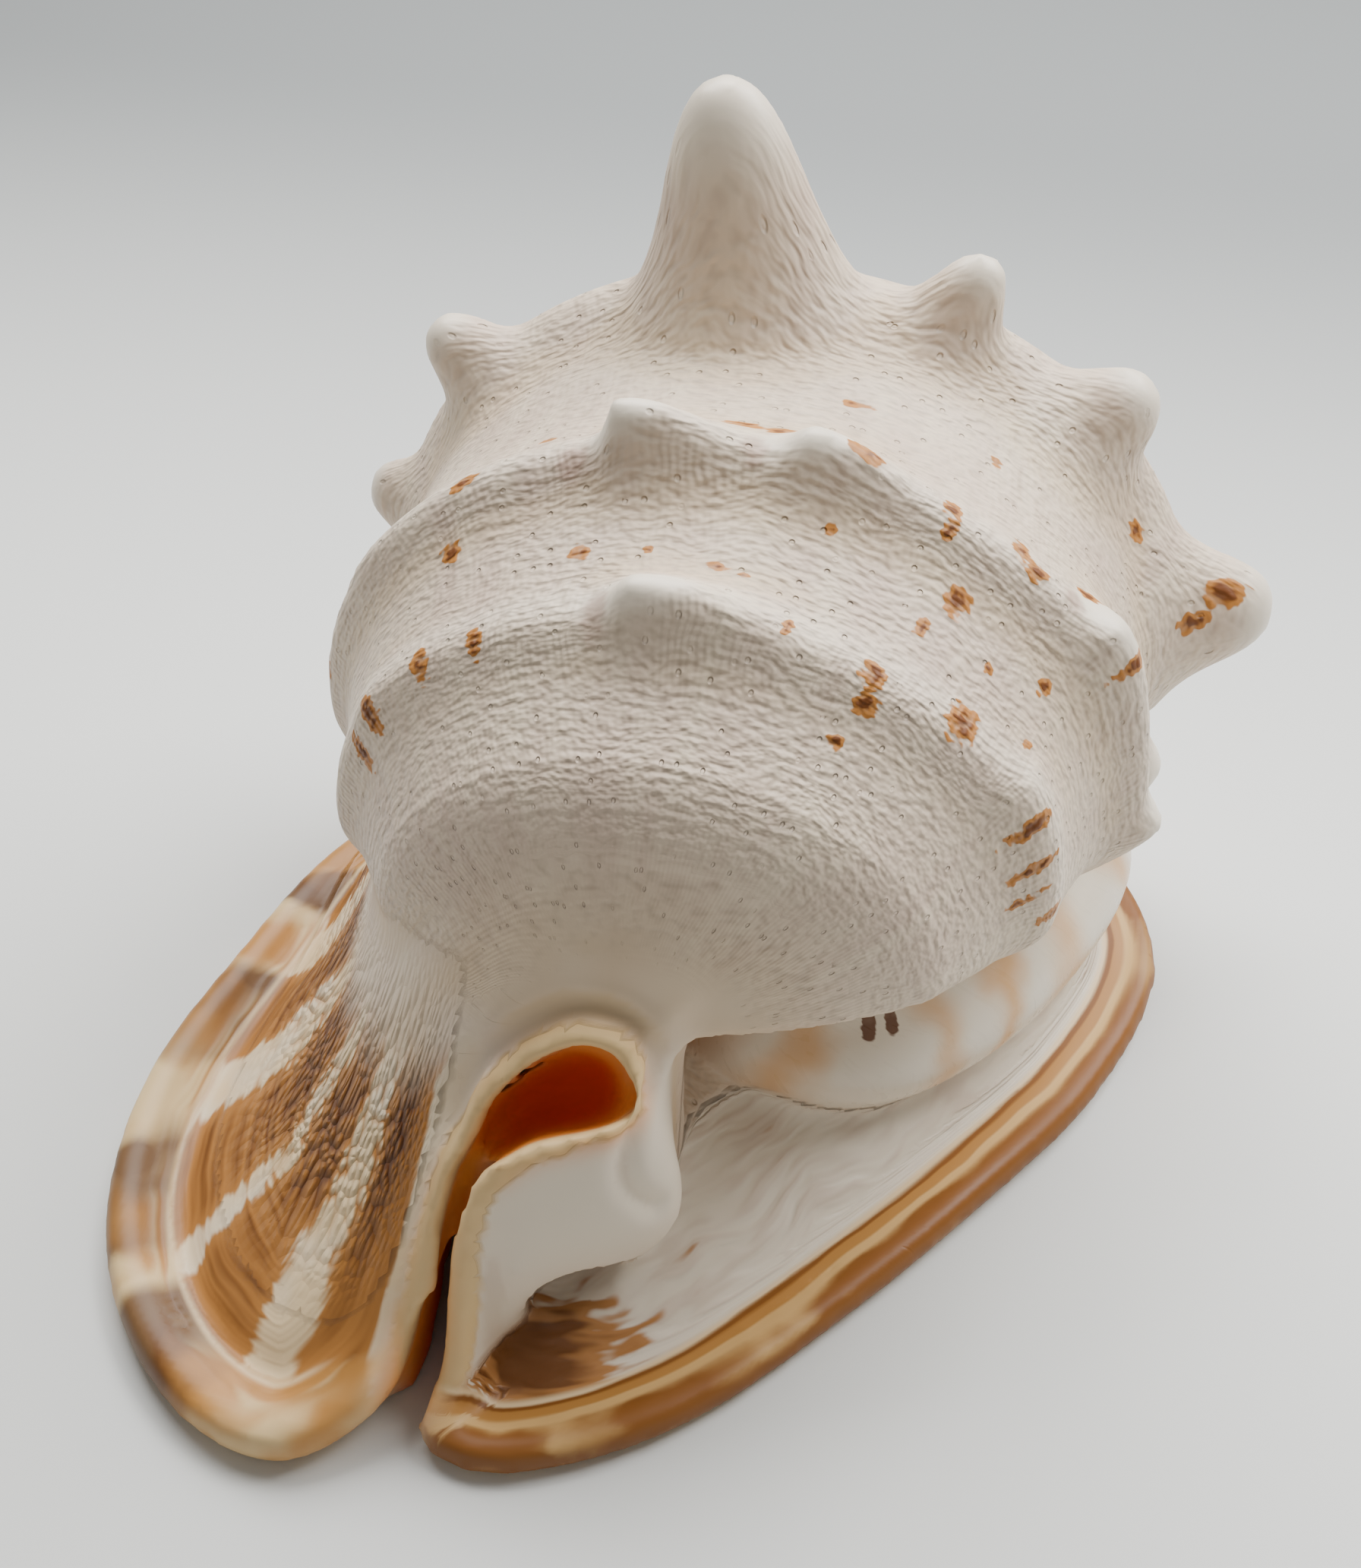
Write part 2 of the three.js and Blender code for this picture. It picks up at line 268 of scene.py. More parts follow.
@dataclass(frozen=True)
class Whorl:
    """The swollen last whorl with its rows of knobs, and the low spire behind it."""

    profile: tuple[tuple[float, float], ...] = (
        (-50, 0), (-47, 18), (-42, 33), (-35, 48), (-28, 58.5), (-20, 64), (-9, 71.5),
        (-3, 78.5), (1, 80.5), (8, 81.5), (20, 85), (29, 89), (34.5, 95), (38.6, 97),
        (46, 95), (65, 92), (88, 93.5), (97, 98), (105, 101), (111, 98), (117, 88),
        (122, 74), (130, 52), (139, 29), (146, 11), (149, 0),
    )
    underside: tuple[tuple[float, float], ...] = (
        (-50, 84), (-28, 82), (-10, 62), (30, 41), (60, 29), (105, 14), (149, 70),
    )
    # Angle round the axis, place along it, height, half width and half length of each knob.
    knobs: tuple[tuple[float, float, float, float, float], ...] = (
        (103, 38, 12, 12, 7), (81, 39, 8, 13, 7), (34, 42, 6, 16, 8), (150, 35, 1, 16, 8),
        (97, 0, 9, 16, 6.5), (30, 3, 3, 18, 8), (150, -3, 2, 16, 8), (-2, 40, 5, 14, 9),
    )
    steep_side: float = 0.34  # a knob's older side falls more steeply than its younger one
    gentle_side: float = 1.5
    # Angle, height and half width of the foot of each horn on the shoulder.
    horns: tuple[Triple, ...] = (
        (97, 49.5, 25), (69, 17, 12), (44, 13, 14), (7, 20, 20), (140, 15, 13), (170, 10, 12),
        (-28, 14, 15), (203, 9, 13),
    )
    shoulder_y: float = 105.0
    shoulder_radius: float = 101.0
    spire_growth: float = 1.75
    spire_step: float = 6.0
    horn_sink: float = 8.0
    horn_front: float = 0.9
    horn_back: float = 0.35
    stations: int = 190
    sides: int = 300

    def side_line(self, share: Array) -> Array:
        """Places along the axis and radii at shares of the side line.

        Args:
            share: Places along the side line, from 0 to 1.

        Returns:
            Rows of place along the axis and radius.
        """
        given = np.array(self.profile, dtype=float)
        place = np.clip(share, 0.0, 1.0) * (len(given) - 1)
        span = np.minimum(place.astype(int), len(given) - 2)
        local = (place - span)[..., None]
        p0, p1 = given[np.maximum(span - 1, 0)], given[span]
        p2, p3 = given[span + 1], given[np.minimum(span + 2, len(given) - 1)]
        v0, v1 = (p2 - p0) / 2, (p3 - p1) / 2
        cubic = (2 * p1 - 2 * p2 + v0 + v1) * local**3
        return cubic + (3 * p2 - 3 * p1 - 2 * v0 - v1) * local**2 + v0 * local + p1

    def floor_height(self, place: Array) -> Array:
        """Height of the whorl's underside above the floor, by place along the axis.

        Args:
            place: Places along the axis.

        Returns:
            Heights in millimetres.
        """
        given = np.array(self.underside, dtype=float)
        after = np.clip(np.searchsorted(given[:, 0], place, side="right"), 1, len(given) - 1)
        start, end = given[after - 1], given[after]
        share = np.clip((place - start[:, 0]) / (end[:, 0] - start[:, 0]), 0.0, 1.0)
        return between(start[:, 1], end[:, 1], share * share * (3 - 2 * share))

    def swelling(self, place: Array, degrees: Array, radius: Array) -> Array:
        """How far the knobs lift the surface.

        Args:
            place: Places along the axis.
            degrees: Angles round it.
            radius: Radii of the plain whorl there.

        Returns:
            Heights above the plain whorl.
        """
        lift = np.zeros_like(radius)
        for angle, at, height, half_width, half_length in self.knobs:
            turn = np.mod(degrees - angle + 180.0, 360.0) - 180.0
            lean = np.where(turn > 0, self.steep_side, self.gentle_side)
            across = np.radians(turn) * radius / (half_width * lean)
            lift += height * np.exp(-(across**2) - ((place - at) / half_length) ** 2)
        return lift

    def surface(self, share: Array, round_it: Array) -> Array:
        """Points of the whorl.

        Args:
            share: Places along the side line.
            round_it: Shares of a turn from the shield side, over the top.

        Returns:
            One point to a row.
        """
        degrees = round_it * 360.0
        side = self.side_line(share)
        plain = np.maximum(0.0, side[:, 1])
        radius = np.where(plain < 1.0, plain, plain + self.swelling(side[:, 0], degrees, plain))
        ratio = np.maximum(plain, 1.0) / self.shoulder_radius
        turns = np.mod(np.log(ratio) / math.log(self.spire_growth) - degrees / 360.0, 1.0)
        rise = np.where(turns < 0.7, turns / 0.7, (1 - turns) / 0.3)
        fade = ease(side[:, 0], self.shoulder_y, self.shoulder_y + 12) * np.sqrt(ratio)
        step = np.where(plain > 1.0, self.spire_step * (rise - 0.5) * fade, 0.0)
        c, s = np.cos(np.radians(degrees)), np.sin(np.radians(degrees))
        below = (AXIS_HEIGHT - self.floor_height(side[:, 0])) / np.maximum(plain, 1.0)
        flat = np.where(s > 0, WHORL_FLATNESS, np.minimum(WHORL_FLATNESS, below))
        y = side[:, 0] + step + ROW_SKEW * radius * c
        return columns(radius * c, y, AXIS_HEIGHT + radius * s * flat)

    def horn_surface(self, horn: Triple) -> RingPoint:
        """A horn that narrows from a flared foot in the whorl to a rounded tip.

        Args:
            horn: Its angle, height and half width.

        Returns:
            The function that places its rings.
        """
        degrees, height, half_width = horn
        c, s = math.cos(math.radians(degrees)), math.sin(math.radians(degrees))

        def place(share: Array, round_it: Array) -> Array:
            """Points of this horn.

            Args:
                share: Places along it, from 0 to 1.
                round_it: Shares of the way round it.

            Returns:
                One point to a row.
            """
            rise = between(-self.horn_sink, height, np.sin(share * math.pi / 2))
            grown = np.maximum(0.0, rise / height)
            spike = 0.5 * np.sqrt(np.maximum(0.0, 1 - 0.98 * grown**3))
            wide = half_width * (spike + 0.5 * np.exp(-2.6 * rise / (height + 10)))
            angle = round_it * 2 * math.pi
            away = self.shoulder_radius + rise
            sideways = wide * np.cos(angle)
            behind = between(self.horn_back, self.horn_front, grown)
            depth = np.where(np.sin(angle) > 0, behind, self.horn_front)
            x = away * c - s * sideways
            y = self.shoulder_y - 1 + ROW_SKEW * away * c + depth * wide * np.sin(angle)
            return columns(x, y, AXIS_HEIGHT + away * s * WHORL_FLATNESS + c * sideways)

        return place

    def grow(self, form: Form) -> None:
        """Adds the whorl and its horns to a form.

        Args:
            form: The form they are added to.
        """
        form.add_rings(self.surface, self.stations, self.sides)
        for horn in self.horns:
            form.add_rings(self.horn_surface(horn), 40, 48)


def across_wall(share: Array) -> Array:
    """Directions through the canal's wall, at shares of its length."""
    turn = np.radians(12 + 62 * (ease(share, 0.28, 0.55) - ease(share, 0.62, 0.85)))
    return columns(-np.cos(turn), np.sin(turn), np.zeros_like(turn))


@dataclass(frozen=True)
class Sheet:
    """A grown sheet that runs from an outer edge to a root line."""

    edge: GrowthLine
    root: GrowthLine
    lying: Callable[[Array], Array]
    under: Callable[[Array, Array, Array], Array]
    swell: float = 0.0
    half: float = 0.0

    def top(self, share: Array, inward: Array) -> Array:
        """Points of its upper side.

        Args:
            share: Places along the edge.
            inward: Shares of the way from the edge to the root.

        Returns:
            One point to a row.
        """
        a, b = self.edge.at(share), self.root.at(share)
        span = b - a
        flat = np.broadcast_to(self.lying(share), share.shape)[:, None]
        v = inward[:, None]
        leave = between(span, span * (1.5, 1.5, 0.0), flat)
        reach = between(span, span * (0.0, 0.0, 1.8), flat)
        rounding = np.sin(inward**1.15 * math.pi) * ease(share, 0.25, 0.55) * (1 - ease(share, 0.8, 0.95))
        bulge = self.half + self.swell * rounding
        return (
            a * (1 + 2 * v) * (1 - v) ** 2
            + leave * v * (1 - v) ** 2
            + b * v * v * (3 - 2 * v)
            + reach * v * v * (v - 1)
            - across_wall(share) * bulge[:, None]
        )

    def rings(self, share: Array, round_it: Array) -> Array:
        """Points of its upper side and then back along its under side.

        Args:
            share: Places along it, from 0 to 1.
            round_it: Shares of the way round it.

        Returns:
            One point to a row.
        """
        upper = round_it < 0.5
        inward = np.clip(np.where(upper, round_it * 2, 2 - round_it * 2), 0.0, 1.0)
        top = self.top(share, inward)
        return np.where(upper[:, None], top, self.under(top, share, inward))


@dataclass(frozen=True)
class Roll:
    """A rolled edge, a tube along a line."""

    line: GrowthLine
    radius: Callable[[Array], Array]

    def rings(self, share: Array, round_it: Array) -> Array:
        """Points round the line at shares along it and round it.

        Args:
            share: Places along it, from 0 to 1.
            round_it: Shares of the way round it.

        Returns:
            One point to a row.
        """
        centre, ahead = self.line.at(share), self.line.ahead(share)
        side = columns(ahead[:, 1], -ahead[:, 0], np.zeros(len(share)))
        side /= np.maximum(np.linalg.norm(side, axis=1, keepdims=True), 1e-9)
        lift = np.cross(side, ahead)
        angle = (round_it * 2 * math.pi)[:, None]
        reach = np.broadcast_to(self.radius(centre[:, 2]), share.shape)[:, None]
        return centre + reach * (side * np.cos(angle) + lift * np.sin(angle))


def lip_lying(share: Array) -> Array:
    """How flat the lip leaves its edge, at shares of its length."""
    return 1 - ease(share, 0.15, 0.6)


@dataclass(frozen=True)
class Flanges:
    """The lip on the left, the canal in front, the shield on the right and the callus below."""

    lip_edge: tuple[Triple, ...] = (
        (-76, 98, 5), (-108, 52, 5), (-119, 8, 5), (-124, -32, 5), (-117, -67, 5), (-102, -91, 5),
        (-80, -108, 5), (-60, -112, 6), (-47, -103, 10), (-38.5, -92, 19), (-35, -84.5, 34),
        (-32.5, -75, 51.5), (-27.5, -65.5, 68), (-18.8, -59, 80), (-7, -55.8, 88), (3, -57.7, 86),
        (12, -49, 92),
    )
    lip_root: tuple[Triple, ...] = (
        (-72, 90, 60), (-89, 58, 66), (-80, 22, 78), (-70, -6, 88), (-62, -19, 97), (-53, -27, 104),
        (-45, -32, 107), (-37, -36, 108), (-31, -38, 109), (-26, -39, 111), (-20, -39, 115),
        (-13, -38, 117), (-6, -36, 121), (0, -34, 123), (8, -33, 123), (18, -32, 120), (36, -29, 114),
    )
    canal_edge: tuple[Triple, ...] = (
        (-29.5, -103.5, 4), (-27, -93, 14), (-26, -86, 30), (-25.5, -80.5, 46), (-22.5, -77, 60),
        (-16, -73, 69), (-6.5, -69, 73.5), (3, -65, 77), (6, -55, 83), (8, -36, 88),
    )
    canal_foot: tuple[Triple, ...] = (
        (-27, -103, 0), (-24, -94, 4), (-23.5, -88, 6), (-23, -82, 7), (-20, -72, 8),
        (-14, -64, 10), (-6, -59, 12), (1, -53, 14), (4, -45, 18), (5, -28, 24),
    )
    shield_edge: tuple[Triple, ...] = (
        (-29, -102, 4), (-18, -104, 4), (4, -95, 4), (24, -79, 4), (46, -52, 4), (71, -16, 4),
        (96, 27, 4), (106, 68, 4), (95, 96, 4), (71, 115, 4), (40, 125, 5), (5, 128, 5),
        (-30, 123, 5), (-62, 108, 5), (-88, 86, 5),
    )
    shield_root: tuple[Triple, ...] = (
        (-22, -92, 8), (-19, -84, 8), (-10, -66, 10), (4, -52, 13), (14, -22, 22), (40, -3, 22),
        (70, 32, 22), (82, 66, 24), (76, 86, 26), (57, 98, 28), (30, 104, 28), (0, 106, 28),
        (-30, 102, 28), (-55, 93, 30), (-75, 80, 34),
    )
    callus_root: tuple[Triple, ...] = (
        (-24, -82, 14), (-22, -76, 18), (-20, -66, 30), (-18, -50, 42), (-22, -20, 52), (-26, 0, 52),
        (-28, 30, 50), (-28, 50, 50), (-28, 65, 48), (-28, 75, 46), (-28, 82, 44), (-30, 88, 42),
        (-34, 92, 40), (-42, 90, 40), (-54, 82, 42),
    )
    varix_line: tuple[Triple, ...] = (
        (2, 6, 44), (20, 0, 34), (42, 3, 31), (61, 20, 31), (77, 50, 30), (84, 80, 30),
        (74, 102, 32), (50, 106, 36),
    )
    canal_wall: float = 4.5
    canal_half: float = 2.8
    below_floor: float = 3.0
    lip_roll: float = 5.5
    canal_roll: float = 2.6
    shield_roll: float = 4.5
    varix_radius: float = 15.0
    varix_seat: Triple = (-9, 7, 13)  # from the old ridge to the thickening it grew against
    aperture_left: float = -47.0

    def lip_under(self, top: Array, share: Array, inward: Array) -> Array:
        """The lip's other side: solid to the floor, and a thin wall where it rises round the canal.

        Args:
            top: Points of the upper side.
            share: Their places along the edge.
            inward: Their shares of the way to the root.

        Returns:
            One point to a row.
        """
        rising = ease(share, 0.44, 0.56)
        depth = between(top[:, 2] + self.below_floor, 3.2 * self.canal_wall, rising)
        pull = (1 - ease(share, 0.28, 0.42)) * inward**3
        return columns(between(top[:, 0], self.aperture_left, pull), top[:, 1], top[:, 2] - depth)

    def lip(self) -> Sheet:
        """The flared outer lip, which rises in front as the left wall of the canal."""
        return Sheet(GrowthLine(self.lip_edge), GrowthLine(self.lip_root), lip_lying, self.lip_under)

    def canal(self) -> Sheet:
        """The wall right of the slot and the near side of the canal's mouth.

        Returns:
            The wall as a sheet.
        """

        def under(top: Array, share: Array, inward: Array) -> Array:
            """The wall's inner side."""
            return top + across_wall(share) * (2 * self.canal_half)

        edge, foot = GrowthLine(self.canal_edge), GrowthLine(self.canal_foot)
        return Sheet(edge, foot, np.zeros_like, under, 9.0, self.canal_half)

    def shield(self) -> Sheet:
        """The flat shield on the right and behind.

        Returns:
            The shield as a sheet.
        """

        def under(top: Array, share: Array, inward: Array) -> Array:
            """The shield's base."""
            return columns(top[:, 0], top[:, 1], np.full(len(top), -self.below_floor))

        edge, root = GrowthLine(self.shield_edge), GrowthLine(self.shield_root)
        return Sheet(edge, root, lambda share: np.full_like(share, 0.3), under)

    def callus(self) -> Sheet:
        """The callus that fills the underside between the shield and the aperture.

        Returns:
            The callus as a sheet.
        """
        root, edge = np.array(self.shield_root, dtype=float), np.array(self.shield_edge, dtype=float)
        inside = between(root, edge, 0.25) * (1.0, 1.0, 0.6)

        def under(top: Array, share: Array, inward: Array) -> Array:
            """The callus's base."""
            return columns(top[:, 0], top[:, 1], np.full(len(top), -1.5 * self.below_floor))

        line = GrowthLine(tuple(map(tuple, inside)))
        return Sheet(line, GrowthLine(self.callus_root), np.zeros_like, under)

    def rolls(self) -> list[Roll]:
        """The rolled rims and the ridge of an earlier lip.

        Returns:
            One roll for each.
        """
        lip, canal = GrowthLine(self.lip_edge[:14]), GrowthLine(self.canal_edge[:7])
        return [
            Roll(lip, lambda z: between(self.lip_roll, self.canal_roll, ease(z, 6, 30))),
            Roll(GrowthLine(self.shield_edge), lambda z: np.full_like(z, self.shield_roll)),
            Roll(canal, lambda z: between(3.4, self.canal_roll, ease(z, 30, 62))),
            Roll(GrowthLine(self.varix_line), lambda z: np.full_like(z, self.varix_radius)),
            Roll(self.seat_line(), lambda z: np.full_like(z, self.varix_radius)),
        ]

    def lip_foot_rings(self, share: Array, round_it: Array) -> Array:
        """Points of the wall under the lip where it rises to the canal.

        Args:
            share: Places along it, from 0 to 1.
            round_it: Shares of the way round it.

        Returns:
            One point to a row.
        """
        line = GrowthLine(self.lip_edge[6:13]).at(share)
        c, s = np.cos(round_it * 2 * math.pi), np.sin(round_it * 2 * math.pi)
        half = line[:, 2] / 2
        return columns(line[:, 0] - 2.5 + 4.0 * c, line[:, 1] + 2.0, half + (half + 2.0) * s)

    def seat_line(self) -> GrowthLine:
        """The middle of the thickening behind the old ridge."""
        moved = np.array(self.varix_line, dtype=float) + self.varix_seat
        return GrowthLine(tuple(map(tuple, moved)))

    def grow(self, form: Form) -> None:
        """Adds the flanges and their rims to a form.

        Args:
            form: The form they are added to.
        """
        for sheet in (self.lip(), self.canal(), self.shield(), self.callus()):
            form.add_rings(sheet.rings, 140, 72)
        for roll in self.rolls():
            form.add_rings(roll.rings, 160, 24)
        form.add_rings(self.lip_foot_rings, 60, 32)


@dataclass(frozen=True)
class Hollow:
    """The slit of the aperture, the chamber of the last whorl above it, and the canal with its slot."""

    # Place of the slit from front to back, its half width and its height.
    slit: tuple[tuple[float, float, float, float], ...] = (
        (-38, -125, 2.5, 20), (-36, -100, 2.5, 26), (-34, -76, 3, 30), (-36, -40, 8, 46),
        (-38, 10, 10, 66), (-38, 55, 9, 58), (-36, 88, 5, 30),
    )
    # The rim of the canal's mouth, and the middle of the bore with its share of the mouth's size.
    mouth: tuple[Triple, ...] = (
        (-28.5, -70.5, 61), (-25.3, -63.4, 72), (-18.8, -59, 80), (-11.7, -57, 86), (-6.2, -55.6, 88),
        (-0.3, -56.1, 88), (4.6, -58.6, 84), (5.6, -62.3, 79), (2.1, -65.6, 77), (-5.8, -68.2, 74.5),
        (-14, -70.8, 72), (-21.7, -75.2, 67), (-28.5, -70.5, 61),
    )
    bore: tuple[tuple[float, float, float, float], ...] = (
        (-9, -76, 89, 1.04), (-9.5, -66, 78, 0.98), (-11, -61, 72, 0.92), (-13, -56, 66, 0.82),
        (-14.5, -52.5, 61.5, 0.6), (-15.5, -50.5, 59, 0.2),
    )
    slot: tuple[Triple, ...] = (
        (-40, -116, -6), (-36, -103, 6), (-32.3, -92.5, 16), (-31.5, -87, 26), (-31.5, -82, 38),
        (-30.3, -78, 49), (-28, -74, 60), (-23, -70, 68),
    )
    slot_half: float = 2.1
    rim_radius: float = 2.1
    lining: tuple[tuple[float, float, float, float], ...] = (
        (-10, -63, 75, 0.9), (-11, -58.5, 69, 0.98), (-13, -53, 62, 1.0), (-15, -48.5, 56, 0.98),
        (-17, -44, 50, 0.85), (-18, -41, 46, 0.4),
    )
    cave_place: Triple = (-8, -67, 21)  # the pocket under the neck of the canal
    cave_size: Triple = (14, 12, 12)
    lip_teeth: int = 12
    shield_folds: int = 8
    chamber_from: float = 232.0
    chamber_to: float = 105.0
    chamber_radius: float = 58.0
    chamber_depth: float = 22.0
    chamber_middle: float = 34.0
    chamber_length: float = 55.0

    def slit_rings(self, share: Array, round_it: Array) -> Array:
        """Points of the slit at shares along it and round it.

        Args:
            share: Places along it, from 0 to 1.
            round_it: Shares of the way round it.

        Returns:
            One point to a row.
        """
        place = GrowthLine(tuple((x, y, 0.0) for x, y, _, _ in self.slit)).at(share)
        size = GrowthLine(tuple((half, top, 0.0) for _, _, half, top in self.slit)).at(share)
        c, s = np.cos(round_it * 2 * math.pi), np.sin(round_it * 2 * math.pi)
        height = np.where(s > 0, size[:, 1], 6.0)
        return columns(place[:, 0] + size[:, 0] * c, place[:, 1], height * s)

    def carried(self, rows: tuple[tuple[float, float, float, float], ...]) -> RingPoint:
        """The mouth's outline carried along a line.

        Args:
            rows: Places of its middle, each with its share of the mouth's size.

        Returns:
            The function that places its rings.
        """
        middle = np.mean(np.array(self.mouth[:-1]), axis=0)

        def place(share: Array, round_it: Array) -> Array:
            """Points of the carried outline.

            Args:
                share: Places along it, from 0 to 1.
                round_it: Shares of the way round it.

            Returns:
                One point to a row.
            """
            centre = GrowthLine(tuple(row[:3] for row in rows)).at(share)
            size = GrowthLine(tuple((row[3], 0.0, 0.0) for row in rows)).at(share)[:, :1]
            return centre + (GrowthLine(self.mouth).at(round_it) - middle) * size

        return place

    def backing_rings(self, share: Array, round_it: Array) -> Array:
        """Points of the wall that closes the slot behind.

        Args:
            share: Places along it, from 0 to 1.
            round_it: Shares of the way round it.

        Returns:
            One point to a row.
        """
        place = GrowthLine(self.slot).at(0.12 + 0.88 * share)
        c, s = np.cos(round_it * 2 * math.pi), np.sin(round_it * 2 * math.pi)
        return place + columns(7.0 * c, 16.0 + 6.0 * s, -9.0 - 3.5 * s)

    def spaces(self) -> tuple[RingPoint, ...]:
        """The functions that place the rings of the slit, the bore, the slot and the chamber."""
        return self.slit_rings, self.carried(self.bore), self.slot_rings, self.chamber_rings

    def mouth_rim(self) -> GrowthLine:
        """The rim of the canal's mouth, from the lip round the far end to the near wall."""
        return GrowthLine(self.mouth[1:-1])

    def line(self, form: Form) -> None:
        """Adds the canal's rim and the walls inside it to a form.

        Args:
            form: The form they are added to.
        """
        form.add_rings(Roll(self.mouth_rim(), lambda z: np.full_like(z, self.rim_radius)).rings, 120, 20)
        form.add_rings(self.carried(self.lining), 40, 40)
        form.add_rings(self.backing_rings, 60, 32)

    def slot_rings(self, share: Array, round_it: Array) -> Array:
        """Points of the narrow slot between the lip and the shield.

        Args:
            share: Places along it, from 0 to 1.
            round_it: Shares of the way round it.

        Returns:
            One point to a row.
        """
        place = GrowthLine(self.slot).at(share)
        c, s = np.cos(round_it * 2 * math.pi), np.sin(round_it * 2 * math.pi)
        return place + columns(self.slot_half * c, 14.0 * s, -8.0 * s)

    def chamber_rings(self, share: Array, round_it: Array) -> Array:
        """Points of the chamber, an oval turned about the coil axis and narrowing inward.

        Args:
            share: Places along it, from 0 to 1.
            round_it: Shares of the way round it.

        Returns:
            One point to a row.
        """
        turn = np.radians(between(self.chamber_from, self.chamber_to, share))
        size = 1 - 0.65 * share**2
        angle = round_it * 2 * math.pi
        radius = self.chamber_radius + size * self.chamber_depth * np.cos(angle)
        y = self.chamber_middle + size * self.chamber_length * np.sin(angle)
        flat = np.where(np.sin(turn) > 0, WHORL_FLATNESS, 0.62)
        return columns(radius * np.cos(turn), y, AXIS_HEIGHT + radius * np.sin(turn) * flat)

    def grow(self, form: Form) -> None:
        """Adds the spaces to cut away to a form.

        Args:
            form: The form they are added to.
        """
        slit, bore, slot, chamber = self.spaces()
        form.add_rings(slit, 60, 40)
        form.add_rings(bore, 40, 40)
        form.add_rings(slot, 60, 32)
        form.add_ball(self.cave_place, self.cave_size, math.radians(18))
        form.add_rings(chamber, 40, 48)
        for step in range(self.lip_teeth):
            self.groove(form, -1.0, 0.34 + 0.5 * step / (self.lip_teeth - 1), 9.0)
        for step in range(self.shield_folds):
            self.groove(form, 1.0, 0.38 + 0.4 * step / (self.shield_folds - 1), 6.0)

    def groove(self, form: Form, side: float, share: float, length: float) -> None:
        """Adds a groove between two teeth of the aperture.

        Args:
            form: The form it is added to.
            side: Which edge it runs from, -1 for the lip and 1 for the shield.
            share: Its share along the slit.
            length: How far it runs from the edge.
        """
        edge = self.slit_rings(np.array([share]), np.array([0.25 - 0.25 * side]))[0]
        form.add_ball((edge[0] + side * 1.0, edge[1], 0.0), (length, 2.0, 4.5), math.radians(12.0))


@dataclass
class Skin:
    """The points, normals and edges of a mesh while it is shaped."""

    mesh: bpy.types.Mesh
    points: Array = field(init=False)
    edges: Array = field(init=False)
    share: Array = field(init=False)

    def __post_init__(self) -> None:
        """Reads the mesh."""
        self.points = np.empty(len(self.mesh.vertices) * 3)
        self.mesh.vertices.foreach_get("co", self.points)
        self.points = self.points.reshape(-1, 3)
        edges = np.empty(len(self.mesh.edges) * 2, dtype=np.int32)
        self.mesh.edges.foreach_get("vertices", edges)
        self.edges = edges.reshape(-1, 2)
        count = np.bincount(self.edges.ravel(), minlength=len(self.points))
        self.share = 1.0 / np.maximum(count, 1)

    def mean(self, values: Array) -> Array:
        """The mean of each point's neighbours.

        Args:
            values: One number or row to a point.

        Returns:
            Means, of the shape of values.
        """
        first, second = self.edges.T
        size = len(self.points)
        flat = values.reshape(size, -1)
        total = [
            np.bincount(first, flat[second, k], size) + np.bincount(second, flat[first, k], size)
            for k in range(flat.shape[1])
        ]
        return (np.stack(total, axis=1) * self.share[:, None]).reshape(values.shape)

    def normals(self) -> Array:
        """Unit normals at the points.

        Returns:
            One normal to a row.
        """
        self.write()
        found = np.empty(len(self.points) * 3, dtype=np.float32)
        self.mesh.vertex_normals.foreach_get("vector", found)
        return found.reshape(-1, 3).astype(float)

    def write(self) -> None:
        """Writes the points back to the mesh."""
        self.mesh.vertices.foreach_set("co", self.points.ravel())
        self.mesh.update()

    def relax(self, rounds: int, weight: Union[float, Array]) -> None:
        """Evens the surface out without shrinking it: each round pulls in and then lets out.

        Args:
            rounds: How many times.
            weight: Share of the way, for all points or for each.
        """
        step = np.broadcast_to(np.asarray(weight, dtype=float), len(self.points))[:, None]
        for _ in range(rounds):
            for way in (1.0, -1.04):
                self.points = self.points + way * step * (self.mean(self.points) - self.points)

    def fill_creases(self, rounds: int, weight: Array) -> None:
        """Fills sharp hollows where forms meet, and leaves what stands out.

        Args:
            rounds: How many times.
            weight: Share of the way for each point.
        """
        for turn in range(rounds):
            if turn % 4 == 0:
                normal = self.normals()
            pull = self.mean(self.points) - self.points
            depth = np.maximum(0.0, np.einsum("ij,ij->i", pull, normal))
            self.points = self.points + normal * (depth * weight)[:, None] + 0.05 * pull


class Mark(Enum):
    """The vector attributes that tell the finish what lies where on the skin."""

    GRAIN = "grain"  # mm along the side line, mm round the whorl, soft clouding
    WEAVE = "weave"  # place in the streaky pattern, and how far it stands out in mm
    CELL = "cell"  # place in the beaded pattern, and how far it stands out in mm
    WORK = "work"  # how much it is plain whorl, how much comb lines and lip beads show
    LIP = "lip"  # share along the lip, rosiness (peach on the old ridge), how much it is the banded lip
    EDGE = "edge"  # mm from the nearest rim, gloss, how much it is the lip's rim
    HEM = "hem"  # mm from the shield's edge, how much it is the shield, the brown patch on it
    INNER = "inner"  # how much it is inside, how much it faces down, the lip's brown bands
    TONE = "tone"  # how white or, below nothing, how much beige painted shade; mauve smudges; brown spots
    RIDGE = "ridge"  # how much it is the old ridge, mm along that ridge, height above the floor


def nearest(samples: Array, points: Array) -> tuple[Array, Array]:
    """Finds the nearest sample to each point.

    Args:
        samples: Points to find, one to a row.
        points: Points to find them for.

    Returns:
        Indices of the samples, and distances.
    """
    tree = KDTree(len(samples))
    for index, sample in enumerate(samples):
        tree.insert(sample, index)
    tree.balance()
    found = [tree.find(point)[1:] for point in points]
    return np.array([hit[0] for hit in found]), np.array([hit[1] for hit in found])


